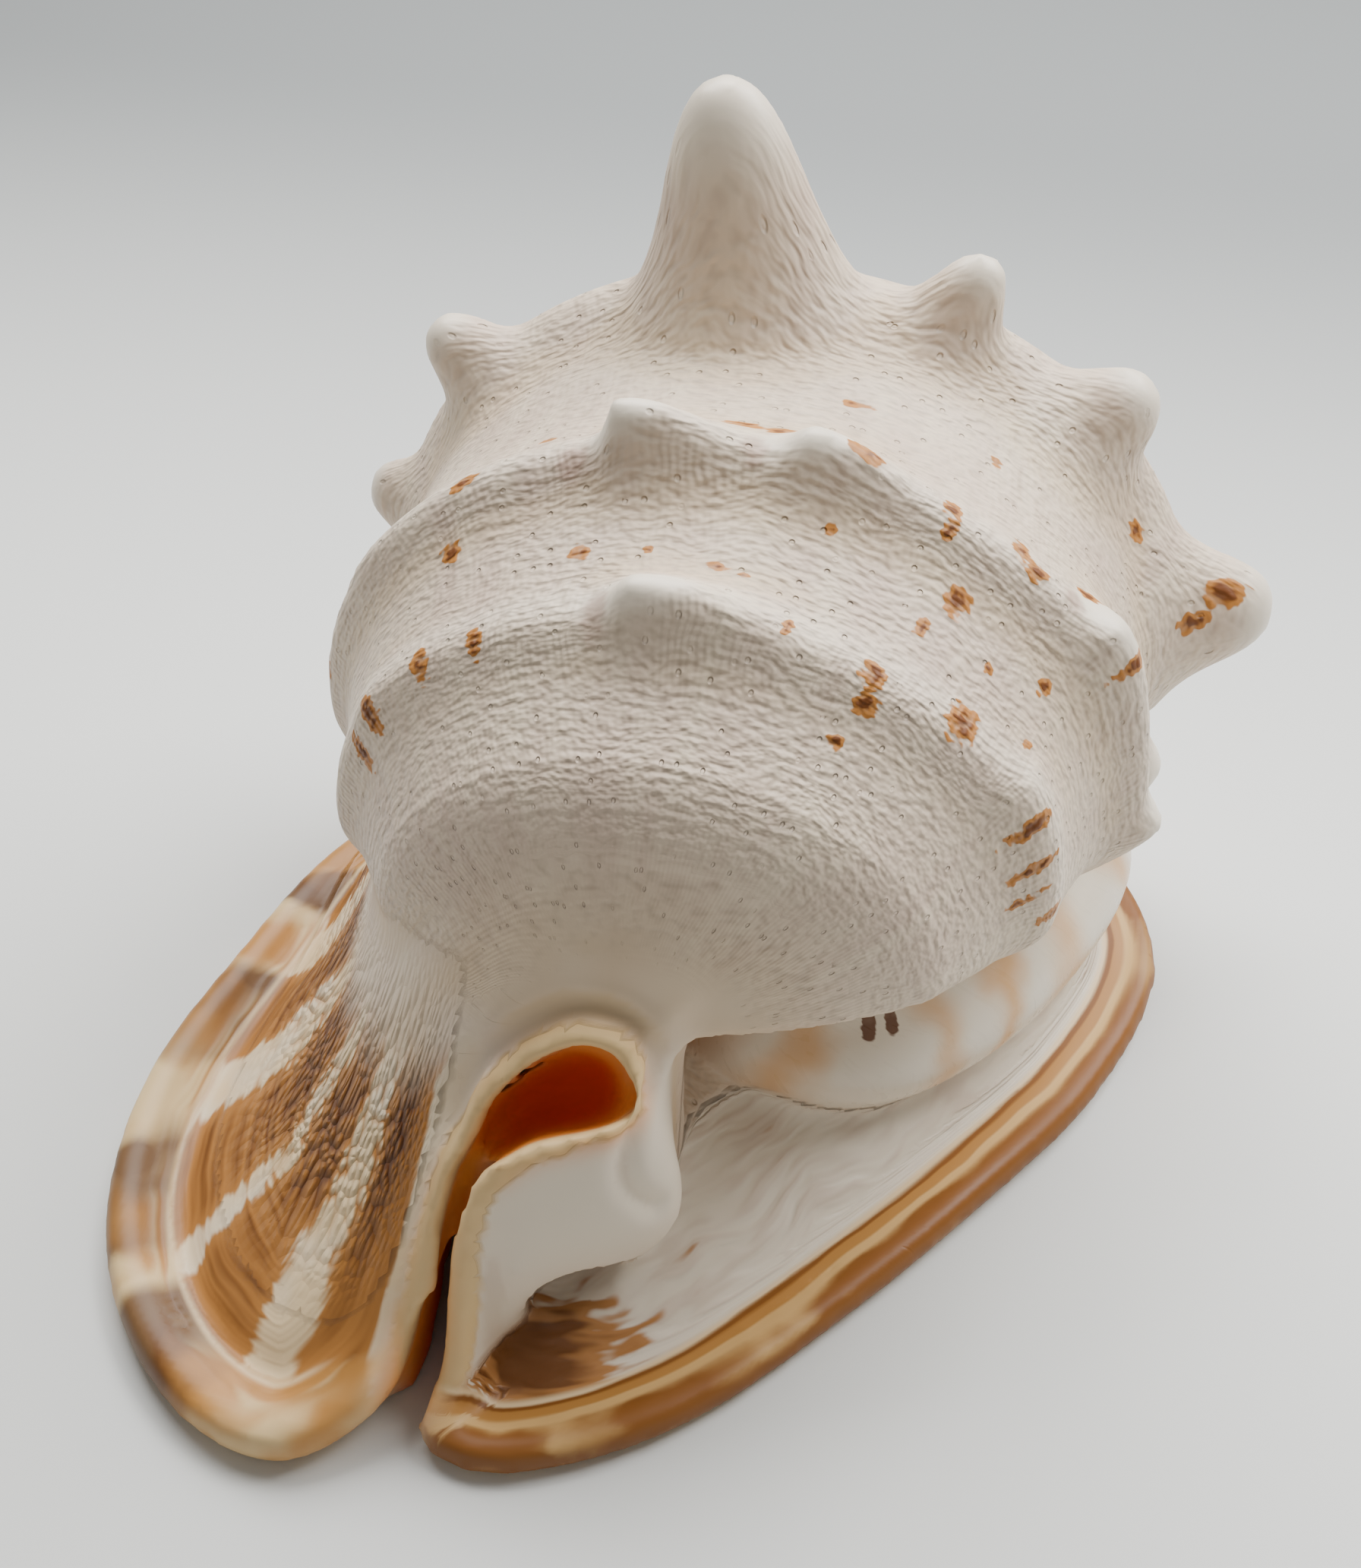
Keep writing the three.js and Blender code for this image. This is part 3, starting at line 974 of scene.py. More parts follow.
def run_along(samples: Array) -> Array:
    """How far along a row of samples each of them lies."""
    return np.concatenate([[0.0], np.cumsum(np.linalg.norm(np.diff(samples, axis=0), axis=1))])


def grid_shares(first: int, second: int) -> tuple[Array, Array]:
    """Shares of an even grid, as two flat lists."""
    a, b = np.meshgrid(np.linspace(0, 1, first), np.linspace(0, 1, second), indexing="ij")
    return a.ravel(), b.ravel()


@dataclass
class Surveyor:
    """Measures where each point of the skin lies on the grown forms."""

    whorl: Whorl
    flanges: Flanges
    hollow: Hollow
    # Angle, place along the axis, half width and half length of each brown spot.
    spots: tuple[tuple[float, float, float, float], ...] = (
        (148, -4, 3.2, 4.0), (134, -2, 2.6, 3.6), (123, -2, 2.0, 3.2), (156, -6, 2.4, 4.0),
        (127, 38, 4.0, 2.4), (131, 26, 3.4, 2.6), (108, 16, 2.6, 2.4), (116, 47, 2.4, 1.4),
        (90, 48, 5.0, 1.6), (85, 47, 3.6, 2.2), (74, 39, 4.6, 2.0), (62, 39, 2.8, 2.4),
        (61, 35, 2.0, 2.0), (51, 41, 3.0, 3.6), (48, 38, 3.4, 2.8), (55, 25, 3.6, 3.2),
        (56, 70, 2.0, 1.8), (28, 91, 3.6, 2.2), (77, 68, 4.4, 1.4), (13, 95, 4.0, 4.2),
        (11, 88, 3.0, 3.0), (62, 0, 3.4, 2.8), (61, -5, 3.0, 1.8), (46, 2, 4.6, 4.6),
        (29, 38, 2.4, 4.6), (38, 47, 3.6, 2.4), (25, -2, 2.4, 5.2), (17, -4, 1.8, 5.0),
        (11, -6, 1.4, 4.4), (4, -1, 2.0, 4.0), (98, 16, 1.4, 1.4), (88, 13, 2.6, 1.4),
        (84, 12, 1.6, 1.2), (76, 1, 1.6, 2.2), (58, 16, 1.8, 2.6), (46, 17, 1.6, 1.6),
        (62, -12, 2.0, 1.4), (36, 24, 2.2, 2.6), (34, 10, 1.6, 1.6), (75, 27, 1.5, 1.5),
        (-10, 38, 3.4, 3.0), (-22, 96, 3.6, 3.6), (-14, 2, 2.4, 4.4), (-24, 40, 3.0, 3.4),
        (172, 37, 3.0, 3.0), (186, 96, 4.0, 3.2), (166, 70, 2.4, 1.8), (60, 118, 4.0, 2.4),
        (120, 116, 4.4, 2.2), (20, 122, 3.6, 2.0), (150, 122, 3.0, 2.0), (84, 126, 3.2, 1.8),
    )
    # The mauve smudges between the knobs, given in the same way.
    smudges: tuple[tuple[float, float, float, float], ...] = (
        (110, 35, 4.0, 4.0), (103, -1, 3.0, 5.0), (87, 37, 3.0, 4.0), (41, 40, 3.0, 4.0),
    )
    # Middle and half width of each brown band, in shares along the lip.
    bands: tuple[tuple[float, float], ...] = (
        (0.03, 0.02), (0.092, 0.016), (0.157, 0.025), (0.256, 0.038), (0.346, 0.032), (0.462, 0.045),
    )
    # Middle, half width and strength of each peach band along the old ridge, in mm.
    ridge_bands: tuple[Triple, ...] = (
        (27, 9, 0.8), (58, 8, 0.7), (76, 6, 0.9), (98, 12, 0.7), (125, 9, 0.8),
    )
    rim_wide: float = 10.5
    canal_rim_wide: float = 3.4

    def clouds(self, points: Array) -> Array:
        """Soft clouding from 0 to 1 with lumps some 20 mm across."""
        found = [noise.fractal(Vector(point) * 0.045, 1.0, 2.0, 3) for point in points]
        return np.clip(0.5 + 0.42 * np.array(found), 0.0, 1.0)

    def neck(self, points: Array) -> Array:
        """How much each point belongs to the smooth neck and front of the canal."""
        sideways = 1 - ease(np.abs(points[:, 0] + 6), 20, 40)
        return sideways * (1 - ease(points[:, 2], 74, 92)) * (1 - ease(points[:, 1], -52, -45))

    def round_axis(self, points: Array) -> tuple[Array, Array, Array]:
        """Angles from straight below, places along the axis, and radii.

        Args:
            points: Points about the coil axis.

        Returns:
            Degrees from -90 to 270, places along the axis, radii.
        """
        rise = points[:, 2] - AXIS_HEIGHT
        rise = np.where(rise > 0, rise / WHORL_FLATNESS, rise / 0.7)
        degrees = np.mod(np.degrees(np.arctan2(rise, points[:, 0])) + 90.0, 360.0) - 90.0
        return degrees, points[:, 1] - ROW_SKEW * points[:, 0], np.hypot(points[:, 0], rise)

    def tips(self, points: Array) -> Array:
        """How near each point is to the tip of a horn or knob.

        Args:
            points: Points about the coil axis.

        Returns:
            Shares from 0 to 1.
        """
        degrees, place, radius = self.round_axis(points)
        found = np.zeros(len(points))
        for angle, height, wide in self.whorl.horns:
            off = np.radians(np.mod(degrees - angle + 180, 360) - 180) * radius
            near = np.exp(-((off / (wide * 0.9)) ** 2) - ((place - 104) / (wide * 0.9)) ** 2)
            rise = (radius - self.whorl.shoulder_radius) / height
            found = np.maximum(found, ease(rise, 0.45, 0.95) * np.clip(near * 2, 0, 1))
        for angle, at, height, wide, long in self.whorl.knobs:
            off = np.radians(np.mod(degrees - angle + 180, 360) - 180) * radius / wide
            lump = np.exp(-(off**2) - ((place - at - 1) / long) ** 2) * min(1.0, height / 6.0)
            found = np.maximum(found, ease(lump, 0.35, 0.85) * ease(radius, 60, 74))
        return found

    def stains(self, points: Array, spots: tuple[tuple[float, float, float, float], ...]) -> Array:
        """How near each point is to the middle of a spot.

        Args:
            points: Points about the coil axis.
            spots: Angle, place along the axis, half width and half length of each.

        Returns:
            1 in the middle of a spot, 0 from twice its size away.
        """
        degrees, place, radius = self.round_axis(points)
        found = np.zeros(len(points))
        for angle, at, wide, long in spots:
            off = np.radians(np.mod(degrees - angle + 180, 360) - 180) * radius / wide
            away = np.sqrt(off**2 + ((place - at) / long) ** 2)
            found = np.maximum(found, np.clip(1 - away / 2, 0, 1))
        return found * ease(radius, 45, 60)

    def survey(self, skin: Skin) -> dict[Mark, Array]:
        """Measures every point of a skin.

        Args:
            skin: The skin, in millimetres about the coil axis.

        Returns:
            Three numbers to a point for each mark.
        """
        points, normal = skin.points, skin.normals()
        degrees, place, radius = self.round_axis(points)
        side = self.whorl.side_line(np.linspace(0, 1, 1500))
        along = np.interp(place, side[:, 0], run_along(side))
        # The flanges, and how far every point lies from their rims.
        share, inward = grid_shares(260, 64)
        lip_hit, lip_gap = nearest(self.flanges.lip().top(share, inward), points)
        lip = (1 - ease(lip_gap, 6.0, 10.0)) * ease(normal[:, 2], -0.35, 0.0)
        shield_share, shield_inward = grid_shares(220, 40)
        _, shield_gap = nearest(self.flanges.shield().top(shield_share, shield_inward), points)
        shield = (1 - ease(shield_gap, 4.0, 8.0)) * ease(normal[:, 2], -0.5, -0.1)
        ends = np.linspace(0, 1, 900)
        fronts = (self.flanges.lip_edge[:14], self.flanges.canal_edge[:7], self.hollow.mouth[1:-1])
        _, lip_in = nearest(np.vstack([GrowthLine(front).at(ends) for front in fronts]), points)
        hem = GrowthLine(self.flanges.shield_edge).at(ends)
        hem_hit, shield_in = nearest(hem, points)
        # The walls of the open spaces, and the hollows between knobs, which take beige painted shade.
        inside_share, inside_round = grid_shares(60, 40)
        walls = [space(inside_share, inside_round) for space in self.hollow.spaces()]
        _, inner_gap = nearest(np.vstack(walls), points)
        inner = 1 - ease(inner_gap, 1.6, 4.0)
        sunk = np.einsum("ij,ij->i", skin.mean(points) - points, normal)
        for _ in range(6):
            sunk = skin.mean(sunk)
        # The old ridge, and the side that lies on the floor.
        line = GrowthLine(self.flanges.varix_line).at(ends)
        ridge_hit, ridge_gap = nearest(line, points)
        _, seat_gap = nearest(self.flanges.seat_line().at(ends), points)
        ridge = (1 - ease(np.minimum(ridge_gap, seat_gap), 15.6, 17.5)) * (1 - shield)
        ridge_run = run_along(line)[ridge_hit]
        down = ease(-normal[:, 2], 0.4, 0.8) * (1 - ease(points[:, 2], 3, 9))
        lip_at = columns(share[lip_hit], inward[lip_hit])
        hem_at = run_along(hem)[hem_hit]
        for _ in range(5):
            lip_at, hem_at, inner = skin.mean(lip_at), skin.mean(hem_at), skin.mean(inner)
        lip_run, lip_way = lip_at.T
        # Faces turned down over the slot take the throat's paint too, which darkens away from the rim as
        # painted shade.
        roof = ease(-normal[:, 2], 0.35, 0.6) * ease(points[:, 2], 3, 8) * (1 - ease(points[:, 2], 44, 52))
        inner = np.maximum(inner, roof * (1 - ease(np.abs(points[:, 0] + 32), 14, 20)))
        # What each place is: banded lip, rim, bare whorl or rough strip.
        cloud, tip, neck = self.clouds(points), self.tips(points), self.neck(points)
        flange = lip * (1 - ease(lip_run, 0.5, 0.62)) * (1 - ease(lip_way, 0.58, 0.74))
        rim_wide = between(self.rim_wide, self.canal_rim_wide, ease(lip_run, 0.42, 0.55))
        rim = (1 - ease(lip_in / rim_wide, 0.96, 1.14)) * (1 - shield)
        body = (1 - flange) * (1 - shield) * (1 - ridge)
        rough = lip * (1 - ease(lip_run, 0.43, 0.53)) * hump(lip_way, 0.54, 0.36)
        plain = body * (1 - tip) * (1 - neck) * (1 - inner) * (1 - rim)
        plain *= ease(radius, 20, 38) * (1 - ease(rough, 0.0, 0.06)) * (1 - down)
        # Tones: brown bands, pale crests, beige painted shade on the front and in hollows, shine and
        # rosiness.
        wander = lip_run + (cloud - 0.5) * 0.035
        brown = np.max([hump(wander, middle, half * 1.45) for middle, half in self.bands], axis=0)
        crest = hump(along, 102, 7) + hump(along, 143, 7)
        comb = (0.02 + 0.06 * (hump(along, 93, 9) + hump(along, 134, 8))) * plain
        front = (1 - ease(along, 20, 58)) * (1 - neck)
        # Painted shade: beige on the whorl's front, which is turned from the lamps, and in its hollows,
        # made uneven by the clouding.
        painted_shade_beige = front * (0.2 + 0.5 * cloud) + 0.35 * ease(sunk * 40, 0.1, 0.8) * body
        white = tip * 0.9 + crest * 0.4 + neck * 0.6
        gloss = flange * 0.06 + shield * 0.06 + tip * 0.16 + ridge * 0.2 + down * 0.2
        turn = np.radians(degrees) * 85.0
        rosy = 0.9 * cloud + 0.9 * plain * (self.clouds(columns(along * 0.31, turn * 3.8, 0.0)) - 0.5)
        uneven = ridge_run + (cloud - 0.5) * 14
        bands = [hump(uneven, at, half) * strength for at, half, strength in self.ridge_bands]
        peach = np.max(bands, axis=0)
        rosy = np.where(ridge > 0.5, peach, rosy)
        patch = hump(shield_in, 20, 20) * hump(hem_at, 24, 46)
        # The streaky pattern follows the threads on the whorl and the rims elsewhere.
        rim_run = between(lip_run * 430, hem_at, ease(lip_in - shield_in, -2, 2))
        from_rim = np.minimum(lip_in, shield_in)
        middle = shield * ease(shield_in, 10, 16)
        lines = columns(from_rim * 0.42 + cloud * 1.6, rim_run * 0.018)
        wrinkles = columns(shield_in * 0.3 + cloud * 2.5, hem_at * 0.06)
        cap = 1 - ease(along, 42, 54)
        threads = columns(along * 0.52 + cloud * 2.4, turn * 0.27)
        dimples = columns(points[:, 0] * 0.3 + cloud * 2.4, points[:, 2] * 0.42)
        threads = np.where((cap > 0.5)[:, None], dimples, threads)
        by_rim = (np.maximum(flange, rim) > 0.5) | (shield > 0.5)
        weave = np.where(by_rim[:, None], between(lines, wrinkles, middle[:, None]), threads)
        apart = np.max([flange, rim, shield], axis=0)
        raised = 0.68 * plain * (1 - ease(apart, 0.1, 0.45)) * ease(np.abs(cap - 0.5), 0.1, 0.5)
        raised += (0.9 * middle + 0.3 * flange + 0.2 * rim) * ease(apart, 0.55, 0.9)
        beaded = columns(lip_run * 120, lip_way * 32 + cloud * 4.0)
        cells = np.where((rough > 0.02)[:, None], beaded, columns(along * 0.22, turn * 0.22))
        smudged, spotted = self.stains(points, self.smudges), self.stains(points, self.spots)
        return {
            Mark.GRAIN: columns(along, turn, cloud),
            Mark.WEAVE: columns(weave[:, 0], weave[:, 1], raised),
            Mark.CELL: columns(cells[:, 0], cells[:, 1], 2.2 * rough),
            Mark.WORK: columns(plain, comb, rough),
            Mark.LIP: columns(lip_run, np.clip(rosy, 0, 1), flange),
            Mark.EDGE: columns(from_rim, gloss, rim),
            Mark.HEM: columns(shield_in, shield, patch),
            Mark.INNER: columns(inner, down, brown),
            Mark.TONE: columns(white - painted_shade_beige, smudged, spotted),
            Mark.RIDGE: columns(ridge, ridge_run, points[:, 2]),
        }


Feed = Union["Value", bpy.types.NodeSocket, float, Sequence[float]]


def tint(red: int, green: int, blue: int) -> tuple[float, float, float, float]:
    """A colour as the eye counts it, from 0 to 255, made linear for a shader.

    Args:
        red: Its red.
        green: Its green.
        blue: Its blue.

    Returns:
        The linear colour, with full cover.
    """
    parts = [level / 255 for level in (red, green, blue)]
    linear = [part / 12.92 if part < 0.04045 else ((part + 0.055) / 1.055) ** 2.4 for part in parts]
    return linear[0], linear[1], linear[2], 1.0


class Value:
    """A number that changes over a surface, written in plain arithmetic."""

    def __init__(self, paint: "Paint", socket: bpy.types.NodeSocket) -> None:
        """Wraps a socket of a paint's nodes."""
        self.paint = paint
        self.socket = socket

    def math(self, operation: str, *others: Feed) -> "Value":
        """A Math node on this value and others.

        Args:
            operation: The node's operation.
            others: Its second and third values.

        Returns:
            The node's result.
        """
        node = self.paint.node("ShaderNodeMath", {"operation": operation}, dict(enumerate((self, *others))))
        return Value(self.paint, node.outputs[0])

    def __add__(self, other: Feed) -> "Value":
        """This value plus another."""
        return self.math("ADD", other)

    def __sub__(self, other: Feed) -> "Value":
        """This value less another."""
        return self.math("SUBTRACT", other)

    def __mul__(self, other: Feed) -> "Value":
        """This value times another."""
        return self.math("MULTIPLY", other)

    def __truediv__(self, other: Feed) -> "Value":
        """This value over another."""
        return self.math("DIVIDE", other)

    __radd__ = __add__
    __rmul__ = __mul__

    def __rsub__(self, other: float) -> "Value":
        """A number less this value."""
        return (self * -1.0) + other

    def ease(self, start: float, end: float) -> "Value":
        """A smooth step from 0 at start to 1 at end.

        Args:
            start: Where the step begins.
            end: Where it is complete.

        Returns:
            The step.
        """
        low, high, first, last = (start, end, 0.0, 1.0) if start < end else (end, start, 1.0, 0.0)
        sockets = {"Value": self, "From Min": low, "From Max": high, "To Min": first, "To Max": last}
        node = self.paint.node("ShaderNodeMapRange", {"interpolation_type": "SMOOTHSTEP"}, sockets)
        return Value(self.paint, node.outputs["Result"])

    def hump(self, middle: float, half: float) -> "Value":
        """1 at the middle, and 0 from half a width away."""
        return (self - middle).math("ABSOLUTE").ease(half, 0.0)

    def wave(self, length: float) -> "Value":
        """A sine of that length, from -1 to 1."""
        return (self * (2 * math.pi / length)).math("SINE")

    def clear(self) -> "Value":
        """The value held between 0 and 1."""
        return self.math("MAXIMUM", 0.0).math("MINIMUM", 1.0)


class Paint:
    """One procedural material and the nodes in it."""

    def __init__(self, name: str) -> None:
        """Starts a material of that name.

        Args:
            name: The name of the material.
        """
        self.material = bpy.data.materials.new(name)
        self.material.use_nodes = True
        self.tree = self.material.node_tree
        self.shader = self.tree.nodes["Principled BSDF"]

    def feed(self, socket: bpy.types.NodeSocket, value: Feed) -> None:
        """Links or sets one socket.

        Args:
            socket: The socket.
            value: What it is given.
        """
        if isinstance(value, Value):
            value = value.socket
        if isinstance(value, bpy.types.NodeSocket):
            self.tree.links.new(value, socket)
        else:
            socket.default_value = value

    def node(
        self, kind: str, settings: dict[str, object], sockets: dict[Union[str, int], Feed]
    ) -> bpy.types.Node:
        """Adds a node.

        Args:
            kind: Its type.
            settings: Its properties, which are set first.
            sockets: Values or links of its inputs, by name or number.

        Returns:
            The node.
        """
        made = self.tree.nodes.new(kind)
        for name, value in settings.items():
            setattr(made, name, value)
        for name, value in sockets.items():
            self.feed(made.inputs[name], value)
        return made

    def marks(self, mark: Mark) -> tuple[Value, Value, Value]:
        """The three numbers of a mark on the skin.

        Args:
            mark: Which mark.

        Returns:
            The three numbers.
        """
        read = self.node("ShaderNodeAttribute", {"attribute_name": mark.value}, {})
        split = self.node("ShaderNodeSeparateXYZ", {}, {0: read.outputs["Vector"]})
        return tuple(Value(self, socket) for socket in split.outputs)

    def place(self, x: Feed, y: Feed, z: Feed = 0.0) -> bpy.types.NodeSocket:
        """A place in a pattern, from three numbers."""
        return self.node("ShaderNodeCombineXYZ", {}, {0: x, 1: y, 2: z}).outputs[0]

    def noise(self, place: Feed, detail: float) -> Value:
        """Cloudy noise from 0 to 1 over two numbers of a place, with finer layers.

        Args:
            place: Where it is read.
            detail: How many finer layers it has.

        Returns:
            The noise.
        """
        sockets = {"Vector": place, "Scale": 1.0, "Detail": detail, "Roughness": 0.55}
        made = self.node("ShaderNodeTexNoise", {"noise_dimensions": "2D"}, sockets)
        return Value(self, made.outputs[0])

    def cells(self, place: Feed) -> tuple[Value, Value]:
        """Distance from the middle of the nearest flat cell, and a random number for that cell.

        Args:
            place: Where they are read.

        Returns:
            The distance and the random number.
        """
        sockets = {"Vector": place, "Scale": 1.0}
        made = self.node("ShaderNodeTexVoronoi", {"voronoi_dimensions": "2D"}, sockets)
        split = self.node("ShaderNodeSeparateColor", {}, {0: made.outputs["Color"]})
        return Value(self, made.outputs["Distance"]), Value(self, split.outputs[0])

    def mix(self, share: Feed, first: Feed, second: Feed) -> bpy.types.NodeSocket:
        """A colour between two others.

        Args:
            share: The share of the second.
            first: The first colour, linear, linked, or three levels from 0 to 255.
            second: The second colour, likewise.

        Returns:
            The mixed colour.
        """
        pair = [tint(*one) if isinstance(one, tuple) and len(one) == 3 else one for one in (first, second)]
        made = self.node("ShaderNodeMix", {"data_type": "RGBA"}, {0: share, 6: pair[0], 7: pair[1]})
        return made.outputs[2]


@dataclass(frozen=True)
class ShellFinish:
    """The shell's finish: chalky cream whorl with painted shade on its front and in its hollows, banded
    glossy lip, white shield, orange throat deepening to red with painted shade.
    """

    cream: Colour = (224, 206, 181)
    white: Colour = (235, 223, 203)
    rose: Colour = (206, 183, 164)
    # Beige painted shade for the whorl's front and its hollows.
    painted_shade_beige: Colour = (206, 180, 142)
    ochre: Colour = (178, 112, 34)
    brown: Colour = (96, 48, 12)
    mauve: Colour = (150, 112, 100)
    band: Colour = (178, 120, 60)
    band_dark: Colour = (98, 54, 18)
    lip_cream: Colour = (237, 209, 164)
    rim_tan: Colour = (190, 134, 70)
    rim_cream: Colour = (230, 202, 150)
    canal_rim: Colour = (222, 189, 136)
    smoke: Colour = (92, 56, 28)
    orange: Colour = (238, 150, 66)
    # Grey painted shade for the dimples of the threads.
    painted_shade_grey: Colour = (162, 142, 124)
    hem_tan: Colour = (180, 128, 66)
    hem_brown: Colour = (134, 84, 36)
    hem_cream: Colour = (212, 172, 112)
    # The throat's own red, darkened as painted shade further in.
    deep_red_and_painted_shade: Colour = (226, 70, 6)
    peach: Colour = (220, 172, 118)
    callus: Colour = (236, 204, 156)
    # Where each stripe of the shield's rim begins, in mm from the edge.
    stripe_steps: tuple[tuple[float, float], ...] = (
        (2.6, 4.0), (4.6, 5.4), (6.2, 7.0), (8.4, 9.2), (9.6, 10.8),
    )

    def make(self) -> bpy.types.Material:
        """Makes the material.

        Returns:
            The finished material.
        """
        paint = Paint("shell_finish")
        along, turn, cloud = paint.marks(Mark.GRAIN)
        weave_x, weave_y, raised = paint.marks(Mark.WEAVE)
        cell_x, cell_y, beaded = paint.marks(Mark.CELL)
        plain, comb, rough = paint.marks(Mark.WORK)
        lip_run, rosy, flange = paint.marks(Mark.LIP)
        from_rim, gloss, rim = paint.marks(Mark.EDGE)
        shield_in, shield, patch = paint.marks(Mark.HEM)
        inner, down, brown = paint.marks(Mark.INNER)
        pale, smudge, stain = paint.marks(Mark.TONE)
        ridge, ridge_run, height = paint.marks(Mark.RIDGE)
        grain = paint.noise(paint.place(weave_x, weave_y), 1.0)
        cell, chance = paint.cells(paint.place(cell_x, cell_y))
        stray = grain - 0.5

        # Whorl: cream, rosier in clouds and along growth streaks, whiter on crests, beige painted shade on
        # the front and in hollows, grey painted shade in the dimples.
        colour = paint.mix(rosy, self.cream, self.rose)
        colour = paint.mix((pale * -1.0).clear(), colour, self.painted_shade_beige)
        colour = paint.mix(pale.clear(), colour, self.white)
        colour = paint.mix((smudge + stray * 0.5).ease(0.3, 0.8) * 0.55, colour, self.mauve)
        ragged = stain + stray * 0.6
        colour = paint.mix(ragged.ease(0.48, 0.58) * 0.95, colour, self.ochre)
        colour = paint.mix(ragged.ease(0.68, 0.84) * 0.9, colour, self.brown)
        # Painted shade: grey in the low parts of the thread relief.
        colour = paint.mix((0.52 - grain).clear() * plain * 1.3, colour, self.painted_shade_grey)

        # Shield: white with faint rosy wrinkles and a brown patch by the canal.
        plate = paint.mix(grain.ease(0.42, 0.7) * 0.45, self.white, self.rose)
        colour = paint.mix(shield, colour, plate)
        torn = patch * 1.9 + stray * 1.8
        colour = paint.mix(torn.ease(0.45, 0.8) * shield * 0.95, colour, self.band)
        colour = paint.mix(torn.ease(0.85, 1.5) * shield * 0.8, colour, self.band_dark)

        # Old ridge: glossy white with uneven peach bands, tan in front, and a dark double spot.
        old = paint.mix(rosy, self.white, self.peach)
        old = paint.mix(ridge_run.ease(24.0, 8.0) * 0.7, old, self.ochre)
        spot = (ridge_run.hump(43.0, 2.6) + ridge_run.hump(48.0, 2.6)) * height.ease(41.5, 44.0)
        old = paint.mix((spot + stray * 0.6).ease(0.35, 0.6) * 0.9, old, self.brown)
        colour = paint.mix(ridge, colour, old)

        # Lip: brown bands that run out from the whorl to the rim, ragged at their inner ends.
        lip_colour = paint.mix(cloud.ease(0.35, 0.7) * 0.5, self.lip_cream, self.white)
        lip_colour = paint.mix(cell.ease(0.4, 0.7) * rough * 0.5, lip_colour, self.rim_tan)
        worn = brown + stray * 0.5 + (cell - 0.4) * rough * 0.4
        lip_colour = paint.mix(worn.ease(0.16, 0.36), lip_colour, self.band)
        dark = worn.ease(0.3, 0.9) * (grain * 1.6 + cell * rough * 1.2 - 0.5).clear()
        lip_colour = paint.mix(dark, lip_colour, self.band_dark)
        colour = paint.mix(flange, colour, lip_colour)

        # Rolled rims: tan with cream layers, smoky where a band reaches the edge, paler at the canal.
        layers = (cloud + grain).ease(0.8, 1.2) * 0.85
        edge = paint.mix(layers, self.rim_tan, self.rim_cream)
        smoky = brown.ease(0.12, 0.6) * lip_run.ease(0.42, 0.38) * (cloud * 2.2 - 0.35).clear()
        edge = paint.mix(smoky * 0.9, edge, self.smoke)
        edge = paint.mix(from_rim.hump(10.2, 1.2) * 0.7, edge, self.lip_cream)
        edge = paint.mix(lip_run.ease(0.5, 0.6), edge, self.canal_rim)
        colour = paint.mix(rim, colour, edge)
        hem_at = shield_in + (cloud - 0.5) * 1.6 + stray * 1.4
        hem: Feed = self.hem_tan
        stripes = (self.hem_brown, self.hem_cream, self.hem_tan, self.hem_brown, self.lip_cream)
        for stripe, (start, end) in zip(stripes, self.stripe_steps):
            hem = paint.mix(hem_at.ease(start, end), hem, stripe)
        colour = paint.mix(shield_in.ease(12.5, 10.5) * (1.0 - inner), colour, hem)

        # Throat: cream at the rim, then its own orange, then deep red, darker further in as painted shade.
        # Callus below.
        throat = paint.mix(from_rim.ease(1.5, 5.0), self.canal_rim, self.orange)
        throat = paint.mix(from_rim.ease(7.0, 20.0), throat, self.deep_red_and_painted_shade)
        colour = paint.mix(inner, colour, throat)
        base = paint.mix(cloud.ease(0.3, 0.75) * 0.6, self.callus, self.peach)
        base = paint.mix(from_rim.ease(22.0, 58.0) * 0.75, base, self.orange)
        colour = paint.mix(down, colour, base)

        # Relief in millimetres: pitted threads round the whorl, growth lines under the rows, pin-holes,
        # two cords in front, lip beads, wrinkles along the rims.
        threads = (along + cloud * 6.0).wave(2.3) * 0.04
        cords = (along - cloud * 2.0).hump(66.0, 1.8) + (along - cloud * 2.0).hump(56.0, 1.6)
        pits = cell.ease(0.17, 0.07) * chance.ease(0.72, 0.8)
        skinned = (threads + cords * 0.22 - pits * 0.5) * plain + (turn + cloud * 8.0).wave(1.9) * comb
        relief = skinned + grain * raised - cell * beaded
        bump = paint.node("ShaderNodeBump", {}, {"Strength": 1.0, "Distance": 0.001, "Height": relief})

        paint.feed(paint.shader.inputs["Base Color"], colour)
        paint.feed(paint.shader.inputs["Roughness"], 0.5 - gloss + stray * 0.2)
        paint.feed(paint.shader.inputs["Normal"], bump.outputs[0])
        paint.shader.inputs["Specular IOR Level"].default_value = 0.3
        return paint.material


